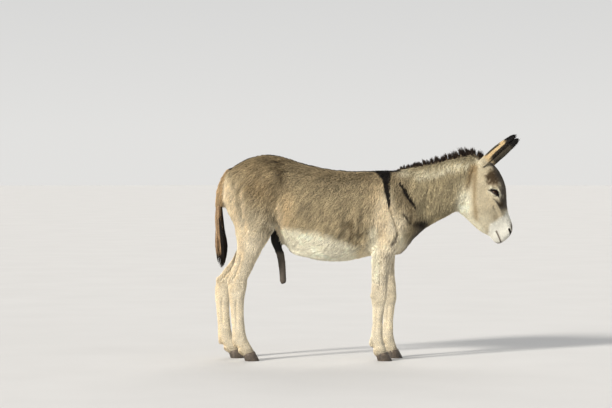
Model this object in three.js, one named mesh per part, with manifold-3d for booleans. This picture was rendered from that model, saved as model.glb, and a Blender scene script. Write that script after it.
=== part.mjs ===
// A life-size wild burro (a small donkey), a jack standing still with its head held low.
// Units are millimetres. +X runs from tail to head, +Y to the animal's left, +Z up. The origin is on the
// floor, under the middle of the animal's length.
//
// The flesh is lofted through slices, joined into one body, and then parted with thin cuts at the places
// where the parts of a donkey are named: poll, base of the neck, elbow, knee, fetlock, stifle and hock.
// Ears, mane, tail, sheath, eyes and hooves are pieces of their own that meet the body with a small gap.
// Every outline is that of the coat, out to the tips of the hair.

import * as THREE from "three";
import { mergeVertices } from "three/addons/utils/BufferGeometryUtils.js";
import Module from "manifold-3d";

const wasm = await Module();
wasm.setup();

// ---------------------------------------------------------------- driving dimensions

const GAP = 0.35; // between neighbouring parts of the flesh
const SET_GAP = 0.6; // between the flesh and the ears, mane, tail and sheath
const WITHERS = 1160; // height of the back over the shoulder blades
const CROUP = 1252; // the highest point of the rump
const BELLY = 593; // the lowest point of the barrel
const BARREL_HALF = 222; // half the width of the barrel
const KNEE_HEIGHT = 375;
const HOCK_HEIGHT = 452;
const FETLOCK_HEIGHT = 120;
const ELBOW_CUT = 606; // the foreleg is parted from the trunk just under the breast
const STIFLE_CUT = 752; // the hind leg is parted from the trunk under the flank
const FORE_STEP = 72; // the left forefoot stands this far ahead of the right one
const HIND_STEP = -94; // the left hind foot stands this far behind the right one
const FORE_SWING = [320, 760]; // heights between which the foreleg takes up its step
const HIND_SWING = [380, 720]; // and the same for the hind leg
const LEG_LINE = 108; // the feet stand this far from the middle
const EYE = { x: 771, y: 87, z: 1020, radius: 20 };
const EAR = { length: 240, wall: 6 };
const MANE = { height: 60, halfWidth: 14, start: 200, poll: 672, end: 706, tufts: 26 };
const HOOF = { height: 56, half: 38 };
const CORONET_GAP = 0.6; // between the hair of the pastern and the horn

const BODY_SIDES = 20;
const HEAD_SIDES = 20;
const LEG_SIDES = 12;

// ---------------------------------------------------------------- lofting

/**
 * A slice of the animal is a closed oval in a plane that stands square to the side view.
 * high, low: its two ends in the side view, [x, z]
 * half:      half its width, across the animal
 * widest:    where it is widest, from 0 at the low end to 1 at the high end
 * upper, lower: how square its two ends are; 2 is an ellipse, less is a ridge, more is a box
 * side:      how far its middle is from the animal's middle, to the left
 */
function slice(high, low, half, { widest = 0.5, upper = 2, lower = 2, side = 0 } = {}) {
  return { high, low, half, widest, upper, lower, side };
}

/** A slice's numbers in one list, so that a spline can run through them. */
function numbersOf(s) {
  return [...s.high, ...s.low, s.half, s.widest, s.upper, s.lower, s.side];
}

/** The slice that such a list describes. */
function sliceOf([hx, hz, lx, lz, half, widest, upper, lower, side]) {
  return { high: [hx, hz], low: [lx, lz], half, widest, upper, lower, side };
}

/** A smooth curve through four numbers, at t from 0 to 1 between the middle two. */
function catmullRom(a, b, c, d, t) {
  const bend = 2 * a - 5 * b + 4 * c - d;
  const twist = 3 * (b - c) + d - a;
  return b + 0.5 * t * (c - a + t * (bend + t * twist));
}

/** The given slices with `steps` rings from each to the next, on smooth curves through them all. */
function refine(slices, steps) {
  const rows = slices.map(numbersOf);
  const rings = [];
  for (let i = 0; i < rows.length - 1; i++) {
    const [before, after] = [Math.max(i - 1, 0), Math.min(i + 2, rows.length - 1)];
    const [a, b, c, d] = [rows[before], rows[i], rows[i + 1], rows[after]];
    for (let k = 0; k < steps; k++) {
      rings.push(sliceOf(b.map((_, j) => catmullRom(a[j], b[j], c[j], d[j], k / steps))));
    }
  }
  rings.push(slices[slices.length - 1]);
  return rings;
}

/** The points of a slice's outline, grown by `grow` all round. */
function ringOf(s, sides, grow = 0) {
  const low = new THREE.Vector3(s.low[0], s.side, s.low[1]);
  const up = new THREE.Vector3(s.high[0], s.side, s.high[1]).sub(low);
  const height = up.length();
  up.normalize();
  return Array.from({ length: sides }, (_, k) => {
    const angle = (2 * Math.PI * k) / sides;
    const [across, along] = [Math.cos(angle), Math.sin(angle)];
    const power = 2 / (along >= 0 ? s.upper : s.lower);
    const reach = (along >= 0 ? (1 - s.widest) * height : s.widest * height) + grow;
    const y = Math.sign(across) * (s.half + grow) * Math.abs(across) ** power;
    const z = Math.sign(along) * reach * Math.abs(along) ** power;
    return low.clone().addScaledVector(up, s.widest * height + z).add(new THREE.Vector3(0, y, 0));
  });
}

/** A closed geometry through rings of points that all have the same count. */
function skinOver(rings) {
  const sides = rings[0].length;
  const points = rings.flat();
  const faces = [];
  for (let r = 0; r < rings.length - 1; r++) {
    for (let k = 0; k < sides; k++) {
      const next = (k + 1) % sides;
      const [a, b] = [r * sides + k, r * sides + next];
      const [c, d] = [a + sides, b + sides];
      faces.push(a, b, d, a, d, c);
    }
  }
  for (const [ring, first] of [[0, true], [rings.length - 1, false]]) {
    const hub = points.push(middleOf(rings[ring])) - 1;
    for (let k = 0; k < sides; k++) {
      const [a, b] = [ring * sides + k, ring * sides + ((k + 1) % sides)];
      faces.push(hub, ...(first ? [b, a] : [a, b]));
    }
  }
  const geometry = new THREE.BufferGeometry().setFromPoints(points);
  geometry.setIndex(faces);
  return geometry;
}

/** The middle of a ring of points. */
function middleOf(ring) {
  return ring.reduce((sum, p) => sum.addScaledVector(p, 1 / ring.length), new THREE.Vector3());
}

/** Moves the ring at one end of a loft outwards, away from the ring beside it. */
function pushOut(end, beside, distance) {
  const out = middleOf(end).sub(middleOf(beside)).setLength(distance);
  end.forEach((p) => p.add(out));
}

/** A closed geometry through slices, grown by `grow` all round. */
function loft(slices, { steps = 2, sides = LEG_SIDES, grow = 0, shape = null } = {}) {
  const rings = refine(slices, steps).map((s) => ringOf(s, sides, grow));
  if (shape) rings.forEach((ring) => ring.forEach(shape));
  if (grow > 0) {
    pushOut(rings[0], rings[1], 2 * grow);
    pushOut(rings[rings.length - 1], rings[rings.length - 2], 2 * grow);
  }
  return skinOver(rings);
}

// ---------------------------------------------------------------- solids

/** A closed geometry as a solid, facing outwards whichever way it was wound. */
function solid(geometry) {
  const bare = geometry.index ? geometry.toNonIndexed() : geometry.clone();
  bare.deleteAttribute("normal");
  bare.deleteAttribute("uv");
  const merged = mergeVertices(bare, 1e-3);
  const triVerts = new Uint32Array(merged.index.array);
  const make = () => new wasm.Manifold(
    new wasm.Mesh({ numProp: 3, vertProperties: merged.attributes.position.array, triVerts }),
  );
  const made = make();
  if (made.volume() > 0) return made;
  for (let i = 0; i < triVerts.length; i += 3) {
    [triVerts[i + 1], triVerts[i + 2]] = [triVerts[i + 2], triVerts[i + 1]];
  }
  return make();
}

/** A solid as a geometry for a mesh, with flat faces. */
function geometryOf(body) {
  const mesh = body.getMesh();
  const points = new Float32Array(mesh.numVert * 3);
  for (let i = 0; i < mesh.numVert; i++) {
    points.set(mesh.vertProperties.subarray(i * mesh.numProp, i * mesh.numProp + 3), i * 3);
  }
  const geometry = new THREE.BufferGeometry();
  geometry.setAttribute("position", new THREE.BufferAttribute(points, 3));
  geometry.setIndex(new THREE.BufferAttribute(mesh.triVerts, 1));
  const faceted = geometry.toNonIndexed();
  faceted.computeVertexNormals();
  return faceted;
}

/** A thin plate to cut with: size [x, y] across, turned by `tilt` radians about Y, centred on a point. */
function blade([x, y, z], [alongX, alongY], tilt = 0) {
  const plate = new THREE.BoxGeometry(alongX, alongY, GAP);
  plate.rotateY(tilt);
  plate.translate(x, y, z);
  return solid(plate);
}

// ---------------------------------------------------------------- trunk and neck

const ROUND_BELLY = { widest: 0.42, upper: 2.05, lower: 2.1 };
const NECK_FORM = { widest: 0.4, upper: 1.85, lower: 2.2 };

/** From the buttocks forward to the poll. */
const TRUNK_AND_NECK = [
  slice([-872, 1060], [-875, 1004], 26),
  slice([-865, 1106], [-869, 950], 72, { widest: 0.55 }),
  slice([-842, 1152], [-838, 876], 118, { widest: 0.55 }),
  slice([-761, 1213], [-764, 834], 155, { widest: 0.55, upper: 1.9 }),
  slice([-640, CROUP], [-655, 812], 180, { widest: 0.58, upper: 1.85 }),
  slice([-540, 1245], [-562, 806], 192, { widest: 0.56, upper: 1.85 }),
  slice([-470, 1228], [-512, 716], 196, { widest: 0.52, upper: 1.9, lower: 2.1 }),
  slice([-410, 1208], [-452, 646], 204, { widest: 0.46, upper: 1.95, lower: 2.1 }),
  slice([-335, 1187], [-368, 619], 214, ROUND_BELLY),
  slice([-235, 1167], [-262, 598], BARREL_HALF, ROUND_BELLY),
  slice([-125, 1155], [-145, BELLY + 3], BARREL_HALF, ROUND_BELLY),
  slice([-20, 1154], [-40, 615], 208, ROUND_BELLY),
  slice([60, 1157], [48, 634], 188, { widest: 0.42, upper: 1.8, lower: 2.1 }),
  slice([118, WITHERS], [135, 634], 168, { widest: 0.42, upper: 1.6, lower: 2.2 }),
  slice([160, 1162], [203, 643], 154, { widest: 0.42, upper: 1.6, lower: 2.2 }),
  slice([202, 1167], [248, 682], 142, { widest: 0.42, upper: 1.6, lower: 2.2 }),
  slice([255, 1174], [290, 738], 126, { widest: 0.4, upper: 1.7, lower: 2.2 }),
  slice([325, 1185], [360, 800], 104, NECK_FORM),
  slice([415, 1204], [432, 843], 89, NECK_FORM),
  slice([515, 1226], [500, 878], 81, NECK_FORM),
  slice([598, 1246], [548, 908], 77, NECK_FORM),
  slice([658, 1248], [600, 955], 71, NECK_FORM),
  slice([694, 1222], [650, 1015], 54, NECK_FORM),
];

/** Swellings and hollows of the sides: middle [x, z], spread [x, z], and how far out they go. */
const RELIEF = [
  { at: [-548, 1132], spread: [60, 50], out: 15 }, // point of the hip
  { at: [-470, 985], spread: [70, 90], out: -15 }, // hollow of the flank
  { at: [-250, 860], spread: [200, 170], out: 6 }, // ribs
  { at: [150, 985], spread: [62, 130], out: 12 }, // shoulder blade
  { at: [352, 985], spread: [48, 130], out: -9 }, // groove before the shoulder
  { at: [-862, 1015], spread: [40, 70], out: 14 }, // seat bone
];

/** Moves a point of the trunk sideways by the relief there. */
function sculptSides(p) {
  const share = Math.min(1, Math.abs(p.y) / 60);
  const out = RELIEF.reduce((sum, r) => {
    const [u, v] = [(p.x - r.at[0]) / r.spread[0], (p.z - r.at[1]) / r.spread[1]];
    return sum + r.out * Math.exp(-u * u - v * v);
  }, 0);
  p.y += Math.sign(p.y) * out * share;
}

function trunkAndNeck(grow) {
  return solid(loft(TRUNK_AND_NECK, { sides: BODY_SIDES, grow, shape: sculptSides }));
}

// ---------------------------------------------------------------- head

const SKULL = { widest: 0.66, upper: 2.5, lower: 2.0 };
const NOSE = { widest: 0.58, upper: 2.1, lower: 2.1 };

/** From the nape down to the lips. The high end of each slice is on the face, the low end on the jaw. */
const HEAD = [
  slice([668, 1216], [606, 1040], 50, { widest: 0.6 }),
  slice([712, 1222], [572, 980], 68, { widest: 0.62, upper: 2.2 }),
  slice([758, 1204], [553, 930], 78, { widest: 0.66, upper: 2.3 }),
  slice([802, 1160], [562, 897], 86, SKULL),
  slice([832, 1108], [590, 873], 93, SKULL),
  slice([848, 1056], [622, 842], 96, SKULL),
  slice([853, 1004], [655, 809], 90, { ...SKULL, upper: 2.3 }),
  slice([856, 950], [690, 781], 77, { widest: 0.6, upper: 2.2 }),
  slice([863, 905], [718, 766], 66, NOSE),
  slice([876, 866], [738, 755], 60, NOSE),
  slice([889, 826], [754, 741], 58, { ...NOSE, upper: 2.4 }),
  slice([890, 790], [770, 725], 54, { ...NOSE, upper: 2.4 }),
  slice([877, 757], [786, 711], 45, { widest: 0.55 }),
  slice([855, 733], [799, 705], 31, { widest: 0.5 }),
  slice([839, 719], [809, 706], 15, { widest: 0.5 }),
];

const HEAD_RELIEF = [
  { at: [774, 1027], spread: [40, 34], out: 8 }, // rim of the eye socket
  { at: [660, 905], spread: [66, 62], out: 9 }, // jowl
  { at: [800, 1098], spread: [34, 30], out: -6 }, // temple
  { at: [806, 922], spread: [44, 40], out: -4 }, // hollow before the cheek bone
  { at: [872, 780], spread: [24, 26], out: 5 }, // nostril
  { at: [815, 765], spread: [26, 40], out: -5 }, // behind the nostril, along the lips
];

function sculptHead(p) {
  const share = Math.min(1, Math.abs(p.y) / 40);
  const out = HEAD_RELIEF.reduce((sum, r) => {
    const [u, v] = [(p.x - r.at[0]) / r.spread[0], (p.z - r.at[1]) / r.spread[1]];
    return sum + r.out * Math.exp(-u * u - v * v);
  }, 0);
  p.y += Math.sign(p.y) * out * share;
}

function head(grow) {
  return solid(loft(HEAD, { sides: HEAD_SIDES, grow, shape: sculptHead }));
}

// ---------------------------------------------------------------- legs

/** One level of a leg: front and rear [x, z], then the middle and half of its width. */
function level(front, rear, middle, half, squareness = 2) {
  return slice(front, rear, half, { side: middle, upper: squareness, lower: squareness });
}

/** The right foreleg, from the shoulder blade to the coronet. */
const FORELEG = [
  level([150, 1084], [84, 1084], 52, 22),
  level([214, 1020], [46, 1016], 74, 46),
  level([262, 925], [22, 928], 92, 66),
  level([272, 845], [8, 850], 98, 74),
  level([244, 762], [8, 767], 103, 70),
  level([206, 700], [14, 702], 107, 59),
  level([170, 640], [20, 637], 106, 51),
  level([149, 576], [23, 576], 104, 44),
  level([133, 500], [24, 500], 103, 40),
  level([125, 430], [22, 430], 103, 40, 2.3),
  level([119, KNEE_HEIGHT], [22, KNEE_HEIGHT], 103, 41, 2.3),
  level([107, 322], [28, 322], 103, 34, 2.1),
  level([96, 230], [29, 226], 103, 28),
  level([97, 150], [18, 146], 103, 32),
  level([102, FETLOCK_HEIGHT], [10, 108], 103, 35),
  level([111, 88], [34, 72], 103, 31),
  level([121, HOOF.height], [53, 42], 103, 33),
];

/** The right hind leg, from the hip to the coronet. */
const HIND_LEG = [
  level([-600, 1140], [-770, 1143], 78, 36),
  level([-556, 1062], [-850, 1074], 90, 76),
  level([-540, 972], [-879, 990], 98, 92),
  level([-541, 884], [-846, 904], 106, 90),
  level([-556, 808], [-810, 822], 114, 80),
  level([-592, 735], [-795, 740], 119, 65),
  level([-632, 672], [-790, 680], 120, 53),
  level([-674, 592], [-806, 606], 117, 43),
  level([-705, 525], [-832, 540], 113, 37),
  level([-721, 482], [-847, 494], 111, 37, 2.2),
  level([-731, 432], [-846, 438], 110, 37, 2.2),
  level([-741, 375], [-842, 382], 109, 33),
  level([-745, 300], [-832, 300], 108, 28),
  level([-739, 208], [-824, 204], 107, 29),
  level([-729, 146], [-822, 138], 106, 34),
  level([-712, 110], [-812, 92], 106, 34),
  level([-697, 86], [-778, 64], 105, 31),
  level([-684, HOOF.height + 2], [-752, 42], 105, 33),
];

/** How far a foot's step has carried a leg at a height: all of it below the swing, none above. */
function carried(step, z, [low, high]) {
  return step * (1 - THREE.MathUtils.smoothstep(z, low, high));
}

/** The leg's levels on one side of the animal (-1 right, 1 left), with the foot moved by its step. */
function posed(levels, side, step, swing) {
  const move = ([x, z]) => [x + carried(step, z, swing), z];
  return levels.map((s) => ({ ...s, high: move(s.high), low: move(s.low), side: side * s.side }));
}

/** The four legs: side is -1 on the right and 1 on the left. */
const LEGS = [
  { name: "fore_right", side: -1, step: 0, fore: true },
  { name: "fore_left", side: 1, step: FORE_STEP, fore: true },
  { name: "hind_right", side: -1, step: 0, fore: false },
  { name: "hind_left", side: 1, step: HIND_STEP, fore: false },
].map((one) => {
  const [levels, swing] = one.fore ? [FORELEG, FORE_SWING] : [HIND_LEG, HIND_SWING];
  return { ...one, swing, levels: posed(levels, one.side, one.step, swing) };
});

function leg({ levels }, grow) {
  return solid(loft(levels, { grow, steps: 1 }));
}

/** The thin plates that part one leg at its joints. */
function legCuts({ side, step, swing, fore }) {
  const at = (x, z, width) => blade([x + carried(step, z, swing), side * LEG_LINE, z], [width, 190]);
  return fore
    ? [at(90, ELBOW_CUT, 240), at(72, KNEE_HEIGHT, 200), at(60, FETLOCK_HEIGHT, 200)]
    : [
        blade([-690, side * 126, STIFLE_CUT], [290, 210]),
        at(-787, HOCK_HEIGHT, 260),
        at(-768, FETLOCK_HEIGHT + 4, 200),
      ];
}

/** A hoof: horn from the coronet down to a flat sole on the floor. */
function hoof({ levels }) {
  const coronet = levels[levels.length - 1];
  const [front, rear] = [coronet.high, coronet.low];
  const slope = (front[1] - rear[1]) / (front[0] - rear[0]);
  const rim = (share, ahead, behind, half, squareness) => {
    const height = (z) => (z - CORONET_GAP) * share;
    const out = [front[0] + ahead, height(front[1] + slope * ahead * share)];
    const back = [rear[0] + behind, height(rear[1] + slope * behind * share)];
    return level(out, back, coronet.side, half, squareness);
  };
  const walls = [
    rim(1, 2, -2, HOOF.half - 4, 2.1),
    rim(0.6, 14, 2, HOOF.half - 2, 2.2),
    rim(0.22, 26, 7, HOOF.half - 0.5, 2.3),
    rim(0, 32, 10, HOOF.half, 2.3),
  ];
  return solid(loft(walls, { steps: 1 }));
}

// ---------------------------------------------------------------- ears

/**
 * An ear is a curled leaf: nearly a tube at its root, open towards the front, and rounded at its tip.
 * Stations go up its length, as a share of it.
 * radius: of the curl
 * back:   how far the ear's back is behind the line from its root to its tip
 * wrap:   half the angle that the curl wraps, in degrees
 */
const EAR_STATIONS = [
  { along: -0.07, radius: 28, back: 31, wrap: 146 },
  { along: 0.1, radius: 30, back: 32, wrap: 140 },
  { along: 0.24, radius: 32, back: 32, wrap: 128 },
  { along: 0.4, radius: 34, back: 31, wrap: 117 },
  { along: 0.56, radius: 33, back: 27, wrap: 112 },
  { along: 0.7, radius: 30, back: 21.5, wrap: 110 },
  { along: 0.82, radius: 26, back: 16, wrap: 108 },
  { along: 0.91, radius: 21.5, back: 11, wrap: 106 },
  { along: 0.965, radius: 16, back: 6, wrap: 104 },
  { along: 1.0, radius: 8, back: 0, wrap: 100 },
];
const EAR_ARC = 6; // steps across the leaf

/**
 * side:  -1 is the right ear and 1 the left
 * lean:  degrees forward of upright
 * splay: degrees outward
 * turn:  degrees that the opening is turned outward from straight ahead
 */
function ear({ side, root, lean, splay, turn }) {
  const radians = THREE.MathUtils.degToRad;
  const axis = new THREE.Vector3(Math.sin(radians(lean)), 0, Math.cos(radians(lean)));
  axis.applyAxisAngle(new THREE.Vector3(1, 0, 0), -side * radians(splay));
  const open = new THREE.Vector3(1, 0, 0).addScaledVector(axis, -axis.x).normalize();
  open.applyAxisAngle(axis, side * radians(turn));
  const across = new THREE.Vector3().crossVectors(axis, open);

  /** One section of the ear: out along the back of the curl, and home along its inside. */
  const leaf = ({ along, radius, back, wrap }) => {
    const line = new THREE.Vector3(...root).addScaledVector(axis, along * EAR.length);
    const middle = line.addScaledVector(open, radius - back);
    const inner = radius - Math.min(EAR.wall, radius * 0.55);
    const at = (r, angle) => middle.clone()
      .addScaledVector(open, -r * Math.cos(angle))
      .addScaledVector(across, r * Math.sin(angle));
    const angles = Array.from({ length: EAR_ARC + 1 }, (_, k) => radians((2 * k / EAR_ARC - 1) * wrap));
    return [...angles.map((a) => at(radius, a)), ...angles.reverse().map((a) => at(inner, a))];
  };
  return solid(skinOver(EAR_STATIONS.map(leaf)));
}

const EARS = [
  { name: "ear_right", side: -1, root: [719, -48, 1207], lean: 46, splay: 10, turn: 22 },
  { name: "ear_left", side: 1, root: [748, 48, 1188], lean: 47, splay: 10, turn: 22 },
];

// ---------------------------------------------------------------- mane, tail, sheath

/** The crest of the neck in the side view, at a place along the animal. */
const CREST = refine(TRUNK_AND_NECK, 6).map((s) => s.high);
function crestAt(x) {
  const i = Math.max(1, CREST.findIndex((p) => p[0] >= x));
  const [a, b] = [CREST[i - 1], CREST[i]];
  return a[1] + ((b[1] - a[1]) * (x - a[0])) / (b[0] - a[0]);
}

/** The upright brush of the mane, highest near the poll, with a ragged top. */
function mane() {
  const slices = Array.from({ length: MANE.tufts + 1 }, (_, k) => {
    const share = k / MANE.tufts;
    const x = THREE.MathUtils.lerp(MANE.start, MANE.end, share);
    const root = crestAt(Math.min(x, MANE.poll)) - 0.3 * Math.max(0, x - MANE.poll);
    const forelock = 1 - 0.75 * THREE.MathUtils.smoothstep(share, 0.95, 1);
    const rise = (6 + (MANE.height - 6) * share) * forelock;
    const ragged = 1 + 0.1 * share * (k % 2 === 0 ? 1 : -1);
    const half = MANE.halfWidth * (0.62 + 0.38 * share);
    const top = [x + 0.12 * rise, root + rise * ragged];
    return slice(top, [x, root - 14], half, { widest: 0.24, upper: 1.45 });
  });
  return solid(loft(slices, { steps: 1, sides: 6 }));
}

/** The dock of the tail lies behind the buttocks and then hangs. */
const TAIL_DOCK = [
  slice([-822, 1172], [-834, 1140], 22),
  slice([-857, 1158], [-846, 1120], 25),
  slice([-886, 1116], [-857, 1092], 26),
  slice([-906, 1070], [-866, 1058], 27),
  slice([-918, 1024], [-872, 1018], 27),
  slice([-924, 970], [-876, 968], 27),
  slice([-925, 930], [-879, 930], 25),
];

/** The switch: long hair that swells below the dock and ends in a point. */
const TAIL_SWITCH = [
  slice([-925, 929], [-879, 929], 24),
  slice([-925, 872], [-878, 872], 29),
  slice([-927, 800], [-866, 800], 33),
  slice([-929, 740], [-852, 740], 36),
  slice([-928, 680], [-847, 680], 36),
  slice([-923, 625], [-851, 625], 31),
  slice([-911, 580], [-866, 580], 20),
  slice([-897, 552], [-883, 552], 5),
];

/** The sheath under the flank, with the organ let down from it as the jack rests. */
const SHEATH = [
  slice([-512, 800], [-590, 800], 34),
  slice([-524, 752], [-588, 748], 36),
  slice([-524, 718], [-588, 722], 33),
  slice([-514, 680], [-572, 684], 26),
  slice([-503, 645], [-554, 648], 22),
  slice([-496, 600], [-544, 602], 21),
  slice([-493, 550], [-537, 550], 21),
  slice([-492, 505], [-532, 504], 21),
  slice([-490, 478], [-530, 474], 23),
  slice([-496, 464], [-524, 461], 14),
];

// ---------------------------------------------------------------- the whole animal

const COAT_COLOURS = {
  grey: new THREE.MeshStandardMaterial({ color: 0x9c8d78, roughness: 0.92, metalness: 0 }),
  pale: new THREE.MeshStandardMaterial({ color: 0xd8cbb0, roughness: 0.92, metalness: 0 }),
  dark: new THREE.MeshStandardMaterial({ color: 0x2e231b, roughness: 0.88, metalness: 0 }),
  bare: new THREE.MeshStandardMaterial({ color: 0x3b3532, roughness: 0.6, metalness: 0 }),
  horn: new THREE.MeshStandardMaterial({ color: 0x4b423a, roughness: 0.55, metalness: 0 }),
  eye: new THREE.MeshStandardMaterial({ color: 0x140d08, roughness: 0.08, metalness: 0 }),
};

/** The parts of the flesh once it is cut: name, colour and a point near the middle of each. */
const FLESH_PARTS = [
  ["rump", "grey", [-680, 0, 1000]],
  ["barrel", "grey", [-240, 0, 900]],
  ["shoulders", "grey", [120, 0, 930]],
  ["neck", "grey", [440, 0, 1010]],
  ["head", "pale", [740, 0, 990]],
  ...LEGS.flatMap(({ name, side, step, swing, fore }) => {
    const x = (right, z) => right + carried(step, z, swing);
    const y = side * LEG_LINE;
    return fore
      ? [
          [`${name}_forearm`, "pale", [x(85, 500), y, 500]],
          [`${name}_cannon`, "pale", [x(70, 258), y, 258]],
          [`${name}_pastern`, "pale", [x(68, 88), y, 88]],
        ]
      : [
          [`${name}_gaskin`, "pale", [x(-720, 617), y, 617]],
          [`${name}_cannon`, "pale", [x(-790, 297), y, 297]],
          [`${name}_pastern`, "pale", [x(-750, 88), y, 88]],
        ];
  }),
];

/** All the flesh in one solid, grown by `grow` all round. */
function flesh(grow = 0) {
  return LEGS.reduce((whole, one) => whole.add(leg(one, grow)), trunkAndNeck(grow).add(head(grow)));
}

/** The plates that part the trunk, neck and head. */
function bodyCuts() {
  const upright = Math.PI / 2;
  const poll = Math.atan2(668 - 560, 1235 - 900);
  return [
    blade([-478, 0, 950], [760, 620], upright),
    blade([12, 0, 950], [760, 620], upright),
    blade([262, 0, 965], [640, 460], upright + Math.atan2(-90, 500)),
    blade([612, 0, 1065], [560, 330], upright + poll),
  ];
}

/** The solid among several whose middle is nearest to a point. */
function nearest(solids, point) {
  const target = new THREE.Vector3(...point);
  const distance = (s) => {
    const { min, max } = s.boundingBox();
    return new THREE.Vector3(...min).add(new THREE.Vector3(...max)).divideScalar(2).distanceTo(target);
  };
  return solids.reduce((best, s) => (distance(s) < distance(best) ? s : best));
}

function ball(radius, [x, y, z], segments = 12) {
  const sphere = new THREE.SphereGeometry(radius, segments, Math.round(segments * 0.6));
  sphere.translate(x, y, z);
  return solid(sphere);
}

function buildAnimal() {
  const animal = new THREE.Group();
  animal.name = "burro";
  const place = (name, colour, body) => {
    const mesh = new THREE.Mesh(geometryOf(body), COAT_COLOURS[colour]);
    mesh.name = name;
    animal.add(mesh);
  };

  const cuts = [...bodyCuts(), ...LEGS.flatMap(legCuts)];
  const sockets = [-1, 1].map((side) => ball(EYE.radius + GAP, [EYE.x, side * EYE.y, EYE.z]));
  const parts = [...cuts, ...sockets].reduce((body, cut) => body.subtract(cut), flesh()).decompose();
  for (const [name, colour, middle] of FLESH_PARTS) {
    place(name, colour, nearest(parts, middle));
  }

  const clearance = flesh(SET_GAP);
  const outside = (body, middle) => nearest(body.subtract(clearance).decompose(), middle);
  for (const one of EARS) {
    place(one.name, "grey", outside(ear(one), [850, one.side * 90, 1300]));
  }
  for (const [name, side] of [["eye_right", -1], ["eye_left", 1]]) {
    place(name, "eye", ball(EYE.radius, [EYE.x, side * EYE.y, EYE.z]));
  }
  place("mane", "dark", outside(mane(), [450, 0, 1270]));
  place("tail_dock", "grey", outside(solid(loft(TAIL_DOCK, { steps: 1 })), [-900, 0, 1040]));
  place("tail_switch", "dark", outside(solid(loft(TAIL_SWITCH, { steps: 1 })), [-900, 0, 740]));
  place("sheath", "bare", outside(solid(loft(SHEATH, { steps: 1 })), [-520, 0, 620]));
  for (const one of LEGS) {
    place(`hoof_${one.name}`, "horn", hoof(one));
  }
  return animal;
}

export default buildAnimal();
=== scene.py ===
"""A life-size standing donkey, as a museum shows it: one skin, its coat, mane, tail, eyes and hooves.

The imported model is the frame. Its nodes of flesh are fused into one skin, which lies inside them by the
coat's depth, and solid tufts of hair grow from it along the lie of the coat. Sizes are in millimetres and
angles in degrees, until a mesh is written in metres. x runs to the nose, y to the left and z up.
"""

import logging
import math
from dataclasses import dataclass
from enum import Enum

import bmesh
import bpy
import numpy as np
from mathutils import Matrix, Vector
from mathutils.bvhtree import BVHTree


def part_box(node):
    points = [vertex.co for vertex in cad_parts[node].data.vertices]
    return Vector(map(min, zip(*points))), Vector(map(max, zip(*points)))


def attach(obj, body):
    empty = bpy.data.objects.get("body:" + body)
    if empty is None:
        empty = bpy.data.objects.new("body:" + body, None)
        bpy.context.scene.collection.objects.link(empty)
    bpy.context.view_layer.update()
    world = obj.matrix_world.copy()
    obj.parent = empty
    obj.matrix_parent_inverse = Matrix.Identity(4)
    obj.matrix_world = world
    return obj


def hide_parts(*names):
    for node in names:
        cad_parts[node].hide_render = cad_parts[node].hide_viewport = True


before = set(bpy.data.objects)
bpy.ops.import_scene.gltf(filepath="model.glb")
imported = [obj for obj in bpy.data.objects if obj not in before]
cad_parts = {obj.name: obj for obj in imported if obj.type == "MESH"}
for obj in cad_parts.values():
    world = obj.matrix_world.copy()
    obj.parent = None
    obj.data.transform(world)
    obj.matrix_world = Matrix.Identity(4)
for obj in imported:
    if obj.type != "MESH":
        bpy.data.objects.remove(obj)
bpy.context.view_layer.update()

Array = np.ndarray
Mesh = bpy.types.Mesh
Socket = bpy.types.NodeSocket

LOG = logging.getLogger("donkey")
MM = 0.001
COLOUR = "coat"
BAKE_MAP = "OFBake"
BODY = "root"

EARS = ("ear_right", "ear_left")
EYES = ("eye_right", "eye_left")
LEGS = ("fore_right", "fore_left", "hind_right", "hind_left")
LEG_NODES = tuple(
    f"{leg}_{part}"
    for leg in LEGS
    for part in ("forearm" if leg.startswith("fore") else "gaskin", "cannon", "pastern")
)
FLESH = ("rump", "barrel", "shoulders", "neck", "head", "tail_dock", "sheath", *LEG_NODES)


# ---------------------------------------------------------------- arithmetic


def unit(rows: Array) -> Array:
    """The rows at a length of one."""
    return rows / np.maximum(np.linalg.norm(rows, axis=-1, keepdims=True), 1e-9)


def ramp(start: float, end: float, values: Array) -> Array:
    """A smooth step from 0 at start to 1 at end, where end may be the smaller one."""
    share = np.clip((values - start) / (end - start), 0, 1)
    return share * share * (3 - 2 * share)


def bell(values: Array, reach: float) -> Array:
    """1 where the value is 0, falling away over about reach."""
    return np.exp(-((values / reach) ** 2))


def dot(a: Array, b: Array) -> Array:
    """The dot product, row by row."""
    return (a * b).sum(-1)


def along_surface(rows: Array, normals: Array) -> Array:
    """The rows laid flat on a surface with these normals, at a length of one."""
    return unit(rows - dot(rows, normals)[:, None] * normals)


def follow(places: Array, path: tuple) -> tuple[Array, Array, Array]:
    """Where each place in the side view is beside a path.

    Args:
        places: one row of x and z for each place.
        path: the path's corners, each an (x, z).

    Returns:
        The distance to the path, the share of the way along it, from 0 to 1, and the side that the place
        is on: 1 to the left of the path's direction and -1 to its right.
    """
    corners = np.array(path, float)
    nearest = np.full(len(places), np.inf)
    share, side = np.zeros(len(places)), np.zeros(len(places))
    for index, (start, end) in enumerate(zip(corners[:-1], corners[1:])):
        step, off = end - start, places - start
        part = np.clip(off @ step / (step @ step), 0, 1)
        gap = np.linalg.norm(off - part[:, None] * step, axis=1)
        closer = gap < nearest
        nearest[closer] = gap[closer]
        share[closer] = (index + part[closer]) / (len(corners) - 1)
        side[closer] = np.sign(step[0] * off[:, 1] - step[1] * off[:, 0])[closer]
    return nearest, share, side


def path_distance(places: Array, path: tuple) -> Array:
    """How far each place in the side view is from a path."""
    return follow(places, path)[0]


def beyond(places: Array, path: tuple) -> Array:
    """How far each place in the side view is to the left of a path's direction, negative to its right."""
    gap, _, side = follow(places, path)
    return side * gap


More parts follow.
